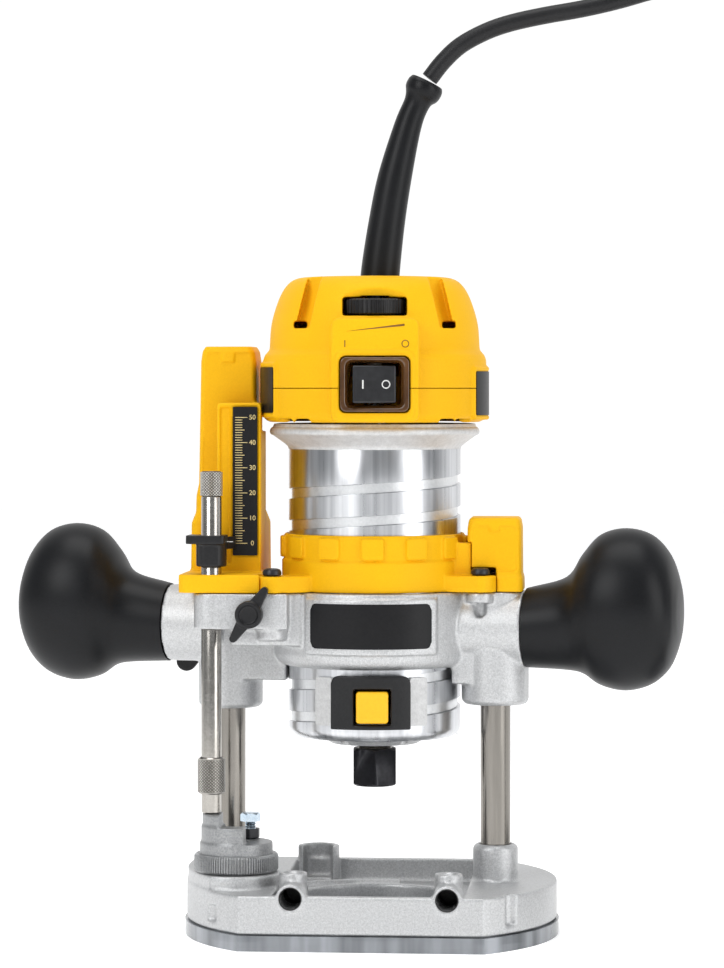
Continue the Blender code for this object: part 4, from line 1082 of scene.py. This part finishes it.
def right_tower_shape():
    low = COLLAR_BOTTOM
    x, y = on_line(RIGHT_POST_AT)
    top = 166.0
    tower = lofted(box_rings((
        (low, x - 12.4, x + 11.4, 12.6, 3), (142, x - 12.3, x + 11.3, 12.5, 3),
        (143.5, x - 11.2, x + 10.8, 11.6, 3), (162, x - 10.7, x + 10.7, 11.1, 3),
        (165, x - 10.2, x + 10.2, 10.6, 2.8), (top, x - 9.3, x + 9.3, 9.7, 2.4),
    ), y))
    hollow = lofted(box_rings(((low - 5, x - 9.6, x + 9.6, 9.8, 3), (163.4, x - 8.2, x + 8.2, 8.6, 3)), y))
    panel = front_recess(x - 9.4, x + 9.4, 144.6, 162.8, y - 11.2, 0.8, 2.6)
    panel = cut(panel, moved(prism(rectangle(-1.8, 1.8, -20, 20, 0.5), 160.6, 170), x, y))
    return cut(
        tower, hollow, panel,
        disc(COLLAR_RADIUS + 0.5, 100, 200, 96),
        prism(around(circle(LUG_SCREWS[1], 6.5), circle(LUG_ROOTS[1], 8.3)), 100, 146.4),
        prism(rectangle(25, 39.9, -30, -12.7), 100, 156.4),
    )


def make_scale():
    plate = upright((-55, -45.3, 150.8, 209.8, 0.2, 3), 18.6, 19.45)
    place("scale_plate", plate, "label", "carriage", "depth_scale")
    ticks = []
    for mark in range(51):
        reach = -49.2 if mark % 10 == 0 else -50.3 if mark % 5 == 0 else -51.2
        z = SCALE_ZERO + mark
        ticks.append(upright((-54.1, reach, z - 0.14, z + 0.14), 19.4, 19.52))
    for mark in range(0, 51, 10):
        figures = moved(lettering(str(mark), 2.7, 0.05), -47.2, SCALE_ZERO + mark, 19.5)
        ticks.append(facing_front(figures))
    place("scale_marks", beside(*ticks), "print", "carriage", sharp=0)
    ribs = [upright((-56.2, -55.25, z, z + 0.5), 17.5, 18.3) for z in (150.5 + i for i in range(56))]
    place("scale_ribs", beside(*ribs), "yellow", "carriage", sharp=0)


def make_collar_screws():
    for side, at, tip in zip(("left", "right"), LUG_SCREWS, (127.2, 134.2)):
        head = turned([
            (0, 143.4), (3.2, 143.4), (3.75, 143.9), (3.75, 144.9), (3.2, 145.9), (2.1, 146.3), (0, 146.3),
        ], 48)
        head = joined(cut(head, prism(hexagon((0, 0), 2.6), 145.0, 150)), rod(1.9, tip, 144, 24))
        place(f"collar_bolt_{side}", moved(head, *at), "black_metal", "carriage", f"collar_screw_{side}")


def make_latch():
    """The over-centre lever at the back, its pin and the bolt that it pulls."""
    hub = prism(around(circle((0, 0), 5.0, 48), rectangle(-5.5, 0, 5.5, 8.0, 1)), 113, 130)
    arm = prism(around(rectangle(-6, 2, 5.5, 8.0), circle((-36, 6.8), 1.2, 24)), 113, 130)
    ribs = [prism(circle((-24 - 3 * i, 7.9 - 0.06 * i), 0.5, 16), 114.5, 128.5) for i in range(4)]
    latch = cut(
        joined(hub, arm, *ribs), rod(2.3, 100, 140, 32), prism(rectangle(-9, 6, -6, 5.2), 118.7, 124.3)
    )
    place("latch_lever", moved(latch, *LATCH_AT), "black", "motor_latch", "clamp_latch",
          bevel=0.5)
    pin = moved(turned([(0, 111.5), (1.6, 111.5), (2, 111.9), (2, 131.1), (1.6, 131.5), (0, 131.5)], 32),
                *LATCH_AT)
    place("latch_pivot", pin, "steel", "carriage", "latch_pin")
    bolt = joined(
        moved(rod(2.2, -32.4, 0, 32), turn=90, tilt=90),
        disc(4.4, -2.2, 2.2, 48),
        moved(prism(hexagon((0, 0), 8), -31.8, -27.5), turn=90, tilt=90),
    )
    bolt = cut(bolt, rod(2.3, -5, 5, 32))
    place("latch_bolt", moved(bolt, *LATCH_AT, LATCH_BOLT_HEIGHT), "zinc", "carriage", "clamp_bolt",
          bevel=0.3)
    lock = joined(rod(3.0, -8.2, 6.6, 40), rod(5.0, 6.4, 9.4, 48, 0.6))
    lock = cut(lock, prism(hexagon((0, 0), 4.0), 7.4, 20))
    place("lever_bolt", moved(lock, *LEVER_AT, tilt=-90), "screw", "carriage", "lock_bolt")


def make_controls():
    hub = disc(7.5, 0, 6, 64)
    upper = prism(around(circle((0, 0), 5.5), circle((-7, 20), 3.2, 32)), 0.6, 5.4)
    lower = prism(around(circle((0, 0), 5.5), circle((-14, -20), 4.2, 32)), 0.6, 5.4)
    lever = softened(cut(joined(hub, upper, lower), rod(3.3, -5, 20, 40)), 0.35, 6, 0.4)
    lever = moved(moved(facing_front(lever), 0, 6, 0), *LEVER_AT)
    place("lock_lever_arm", lever, "black", "lock_lever", "plunge_lock_lever", sharp=0)
    wing = around(circle((0, 0), 3.3), circle((11.2, 0), 1.5, 24))
    other = [(-x, -y) for x, y in wing]
    hub = turned([(0, 0), (5.0, 0), (5.4, 0.5), (5.4, 5.6), (4.9, 6.3), (3.9, 6.3), (3.5, 5.3), (0, 5.3)], 64)
    knob = joined(hub, prism(wing, 0.9, 5.2), prism(other, 0.9, 5.2))
    knob = cut(knob, disc(3.5, 5.3, 20, 40))
    knob = joined(softened(knob, 0.3, 5, 0.35), rod(2.0, -10.5, 1, 24))
    knob = moved(facing_front(moved(knob, turn=57)), *WING_AT)
    place("wing_screw", knob, "black", "rod_clamp", "wing_knob", sharp=0)


def make_carriage():
    body = softened(carriage_shape(), 0.62, 6, 0.5)
    place("carriage_body", body, "cast", "carriage", "carriage_casting", sharp=0)
    collar = softened(collar_shape(), 0.42, 4, 0.4)
    place("guide_collar", collar, "yellow", "carriage", "collar_cover", sharp=0)
    tower = softened(scale_tower_shape(), 0.42, 4, 0.4)
    place("left_column", tower, "yellow", "carriage", "scale_tower", sharp=0)
    tower = softened(right_tower_shape(), 0.4, 4, 0.4)
    place("right_column", tower, "yellow", "carriage", "right_tower", sharp=0)
    for name, at, low in (("left", LEFT_POST_AT, 89.2), ("right", RIGHT_POST_AT, 92.6)):
        bush = moved(sleeve(POST_RADIUS + 0.3, 8.5, low, CASTING_TOP - 1, 64), *on_line(at))
        place(f"{name}_guide_bush", bush, "bronze", "carriage", f"{name}_bush")
    for name, at, side in (("left", LEFT_HANDLE_AT, -1), ("right", RIGHT_HANDLE_AT, 1)):
        place(f"{name}_grip", handle(at, side), "rubber", "carriage", f"{name}_handle", sharp=60)
    make_scale()
    make_label()
    make_collar_screws()
    make_latch()
    make_controls()


# ---------------------------------------------------------------- motor

def helix(section):
    """A closed strip of this section, (radius, up) pairs, that climbs round the can."""
    steps_a_turn = 60
    rings = []
    for i in range(round(8.5 * steps_a_turn)):
        turns = i / steps_a_turn
        angle = 2 * math.pi * turns
        z = GROOVE_START + GROOVE_LEAD * turns
        rings.append([(r * math.cos(angle), r * math.sin(angle), z + up) for r, up in section])
    return lofted(rings)


def grooved_can():
    outline = [(8.2, 78.0), (29.6, 78.0), (31.8, 78.3), (33.4, 79.4), (34.3, 80.9), (CAN_RADIUS, 82.0)]
    outline += [(CAN_RADIUS, 193.4), (34.3, 193.7), (32.6, 193.8), (32.6, 84.5), (17.6, 84.5), (17.6, 92.4)]
    outline += [(15.3, 92.4), (15.3, 85.0), (8.2, 84.5)]
    groove = helix(((GROOVE_DEPTH_AT, -1.9), (36.5, -2.4), (36.5, 2.4), (GROOVE_DEPTH_AT, 1.9)))
    return cut(turned(outline, 180), groove)


def make_can():
    can = grooved_can()
    window = prism(rectangle(-8.1, 6.1, -45, -26), 85.6, 99.3)
    place("motor_shell", cut(can, window), "turned", "carriage", "motor_can", motor=True)
    inner = GROOVE_DEPTH_AT - 0.2
    floor = cut(helix(((inner, -1.8), (inner + 0.35, -1.8), (inner + 0.35, 1.8), (inner, 1.8))), window)
    place("groove_floor", floor, "bright", "carriage", slot="turned_aluminium", motor=True)
    flange = turned(
        [(33.1, 193.0), (34.6, 193.0), (34.8, 193.9), (36.0, 195.0), (40.6, 198.3)]
        + arc((40.2, 200.0), 1.9, -40, 70, 8)
        + [(40.4, 203.0), (38.5, 203.2), (33.1, 203.2)],
        144,
    )
    place("motor_flange", flange, "flange", "carriage", motor=True)
    disc = turned([(9.0, 75.2), (17.6, 75.2), (21.4, 77.7), (9.0, 77.7)], 96)
    holes = [moved(rod(1.9, 60, 90, 32), x, y) for x, y in ((-11.5, -15.2), (11.5, -15.2), (0, 19.2))]
    place("end_plate", cut(disc, *holes), "cast", "carriage", "bearing_cover", motor=True,
          bevel=0.2)


def cap_shape():
    bottom = CAN_TOP + 0.3
    dome = smooth([(42.2, 232.6), (41.4, 243), (38.4, 253), (34.9, 258.8), (30.5, 261.3), (24, CAP_TOP)], 5)
    outline = [(42.0, bottom), (43.8, 204.6), (CAP_RADIUS, 206.4), (CAP_RADIUS, 228.4), (44.1, 230.4)]
    outline += [(42.9, 231.8), *(tuple(p) for p in dome)]
    outer = turned([(0, bottom), *outline, (0, CAP_TOP)], 144)
    panel = upright((-17, 17.2, CAN_TOP + 0.5, 244.4, 3.2, 8), 30, 46.4)
    rim = upright((-15.3, 15.3, 204.4, 231.8, 3.2, 8), 30, 47.2)
    frames = [
        curved_panel(46.0, 43, 164, 210.5, 205.6, 227.4, 1.5),
        curved_panel(46.0, 43, -30.5, 16, 204.6, 225.8, 1.5),
    ]
    inner = [(r - 2.4, z) for r, z in outline if 206 < z < 257]
    hollow = turned([(0, 200), (39.0, 200), (39.0, 205), *inner, (31.0, 258.6), (0, 258.6)], 96)
    backs = [prism(rectangle(*sorted((side * 17, side * 36)), -40, -10), 238.6, 265) for side in (-1, 1)]
    hollow = cut(hollow, *backs)
    window = upright((-13.8, 13.8, 207.6, 229.7, 2.4, 8), 30, 60)
    slot = prism(rectangle(-12.6, 12.6, -60, -20), 245.5, 252.9)
    recess = lofted([
        [(-12.2, -60, 245.6), (12.2, -60, 245.6), (12.2, -34.5, 245.6), (-12.2, -34.5, 245.6)],
        [(-12.2, -60, 256.6), (12.2, -60, 256.6), (12.2, -36.6, 256.6), (-12.2, -36.6, 256.6)],
    ])
    vents = []
    for side in (-1, 1):
        low = [(side * 27.0, -60), (side * 32.8, -60), (side * 31.0, -22.5), (side * 25.5, -26.0)]
        high = [(side * 22.0, -60), (side * 29.0, -60), (side * 25.0, -14.5), (side * 19.5, -18.5)]
        vents.append(lofted([[(x, y, z) for x, y in ring] for ring, z in ((low, 240.8), (high, 266))]))
        vents.append(prism(rectangle(*sorted((side * 26.6, side * 32.0)), -40, -8), 240.8, 243.6))
    label_seats = [
        curved_panel(48, 45.4, 165.5, 209, 207.0, 226.0, 0.8),
        curved_panel(48, 45.4, -29, 14.5, 206.0, 224.4, 0.8),
    ]
    notches = [
        prism(rectangle(x - 3, x + 3, -60, -20), 200, 205.2) for x in (-35.2, -28.2, 28.4, 34.6)
    ]
    boot_seat = moved(rod(8.2, 250, 270, 48), 1.9)
    body = joined(outer, panel, rim, *frames)
    return cut(body, hollow, window, slot, recess, *vents, *label_seats, *notches, boot_seat)


def make_cap():
    whole = softened(cap_shape(), 0.5, 4, 0.45)
    lower = boolean(whole.copy(), prism(rectangle(-70, 70, -70, 70), 190, CAP_SPLIT), "INTERSECT")
    upper = boolean(whole, prism(rectangle(-70, 70, -70, 70), CAP_SPLIT + 0.35, 280), "INTERSECT")
    tongue = turned(
        [(41.0, 213.4), (43.0, 213.4), (43.0, 216.6), (42.1, 216.9), (42.1, 219.4), (41.0, 219.4)], 128
    )
    tongue = cut(tongue, upright((-14.2, 14.2, 205, 232), 30, 60))
    lower = joined(lower, tongue)
    place("cap_bottom", lower, "yellow", "carriage", "cap_lower", motor=True, sharp=40)
    place("cap_top", upper, "yellow", "carriage", "cap_upper", motor=True, sharp=40)
    labels = (("left", 166, 208.5, 207.5, 225.5), ("right", -28.5, 14, 206.5, 223.9))
    for name, first, last, low, high in labels:
        label = curved_panel(45.95, 45.2, first, last, low, high, 0.6)
        place(f"side_label_{name}", label, "label", "carriage", motor=True)
    wedge = facing_front(prism([(-11.2, 239.3), (11.6, 241.4), (11.6, 242.3)], 46.2, 46.5))
    line = upright((-11.8, -11.4, 233.2, 235.8), 46.2, 46.5)
    ring = facing_front(cut(prism(circle((11.9, 234.5), 1.5, 40), 46.2, 46.5),
                            prism(circle((11.9, 234.5), 1.15, 40), 40, 50)))
    place("cap_marks", beside(wedge, line, ring), "mark", "carriage", motor=True, sharp=0)


def make_switch():
    frame_body = prism(rectangle(-13.4, 13.4, 208.0, 229.3, 2.4, 8), 41.5, 48.4)
    opening = prism(rectangle(-10.2, 10.2, 210.4, 227.0, 1.6, 8), 30, 60)
    slope = lofted([
        [(x, z, y) for x, z in rectangle(-left, left, 210.4 - grow, 227.0 + grow, 1.6 + grow, 8)]
        for y, left, grow in ((46.2, 10.2, 0), (49.0, 12.0, 1.6))
    ])
    bezel = facing_front(cut(frame_body, opening, slope))
    place("switch_boot", bezel, "amber", "carriage", "switch_frame", motor=True, bevel=0.5)
    outline = [(-8.6, -2.0), (-8.6, -5.0), (0, -4.0), (8.4, -2.2), (8.0, 2.6), (-7.0, 2.6)]
    body = moved(prism(outline, 211.4, 226.0), 0, -44.5)
    place("switch_rocker", body, "gloss", "switch", "rocker", motor=True, bevel=0.7)
    on = upright((-4.9, -4.3, 217.0, 220.4), 48.3, 48.62)
    off = facing_front(cut(
        prism(circle((4.4, 218.7), 1.7, 40), 48.3, 48.62), prism(circle((4.4, 218.7), 1.25, 40), 40, 60)
    ))
    for mark, slope in ((on, 0.116), (off, 0.214)):
        lean = Matrix.Identity(4)
        lean[1][0] = slope
        mark.transform(lean)
    place("rocker_marks", beside(on, off), "white", "switch", motor=True,
          sharp=0)


def make_dial():
    outline = gear((0, 0), 11.55, 12.0, 40)
    wheel = lofted([
        [(x * s, y * s, z) for x, y in outline]
        for z, s in ((246.1, 0.95), (246.6, 1), (251.8, 1), (252.3, 0.95))
    ])
    wheel = joined(wheel, rod(3.0, 240.0, 254.6, 32))
    place("speed_wheel_disc", moved(wheel, 0, -29.3), "black", "speed_wheel", "speed_dial",
          motor=True, sharp=25)


def make_lock():
    outer, inner, first, last, bottom = 39.6, CAN_RADIUS + 0.3, -116, -69, 83.6
    housing = curved_panel(outer, inner, first, last, bottom, 104.6, 3.0)
    lower = prism(arc((0, 0), outer, first, last, 24) + arc((0, 0), inner, last, first, 24), bottom, 92)
    housing = cut(joined(housing, lower), prism(rectangle(-8.3, 6.3, -45, -20, 0.5), 85.4, 99.5))
    housing = softened(housing, 0.33, 4, 0.4)
    place("lock_cover", housing, "black", "carriage", "lock_housing", motor=True, sharp=0)
    button = upright((-7.3, 5.3, 86.3, 98.6, 1.2, 6), 30.0, 41.0)
    place("lock_push_button", button, "button", "spindle_lock", "lock_button", motor=True,
          bevel=0.7)
    pin = facing_front(moved(rod(1.8, 9.4, 31, 24), y=96.2))
    place("lock_pin", pin, "steel", "spindle_lock", motor=True)
    pads = [curved_panel(35.6, 34.0, *ends, 84.5, 103.5, 1.2) for ends in ((-131, -118), (-67, -54.5))]
    place("lock_pads", beside(*pads), "flange", "carriage", slot="turned_aluminium", motor=True)


def make_nut():
    body = prism(hexagon((0, 0), 17.0, 30), 57.9, 73.0)
    shape = turned([(0, 57.9), (8.0, 57.9), (9.9, 59.2), (9.9, 71.9), (8.2, 73.0), (0, 73.0)], 96)
    nut = cut(boolean(body, shape, "INTERSECT"), rod(5.4, 50, 62.5, 48), rod(7.3, 61, 90, 48))
    place("collet_hex_nut", nut, "black_metal", "rotor", "collet_nut", motor=True, bevel=0.3)
    shaft = [(0, 240), (4.0, 240), (4.0, 112), (7.0, 111), (7.0, 99.2), (4.9, 99.0), (4.9, 93.4), (7.0, 93.2)]
    shaft += [(7.0, 79.0)]
    for i in range(15):
        shaft += [(7.0, 78.4 - 1.1 * i), (6.55, 77.85 - 1.1 * i)]
    shaft += [(7.0, 62.4), (5.6, 62.2), (4.2, 84.0), (0, 84.0)]
    place("drive_shaft", turned(shaft[::-1], 64), "steel", "rotor", "spindle", motor=True)


def make_motor():
    make_can()
    make_cap()
    make_switch()
    make_dial()
    make_lock()
    make_nut()
    make_boot()


def finish_inner_nodes():
    """The pieces inside keep their CAD shapes and take the finish of their slot."""
    inner = {
        "steel": ("front_bearing", "rear_bearing", "collet"),
        "laminated": ("stator", "armature"),
        "brass": ("brush_left", "brush_right", "commutator"),
        "black": ("cooling_fan",),
    }
    for finish, names in inner.items():
        for name in names:
            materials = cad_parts[name].data.materials
            materials.clear()
            materials.append(FINISH[finish])


make_camera()
make_studio()
make_cord()
make_base()
make_springs()
make_turret()
make_depth_rod()
make_carriage()
make_motor()
finish_inner_nodes()
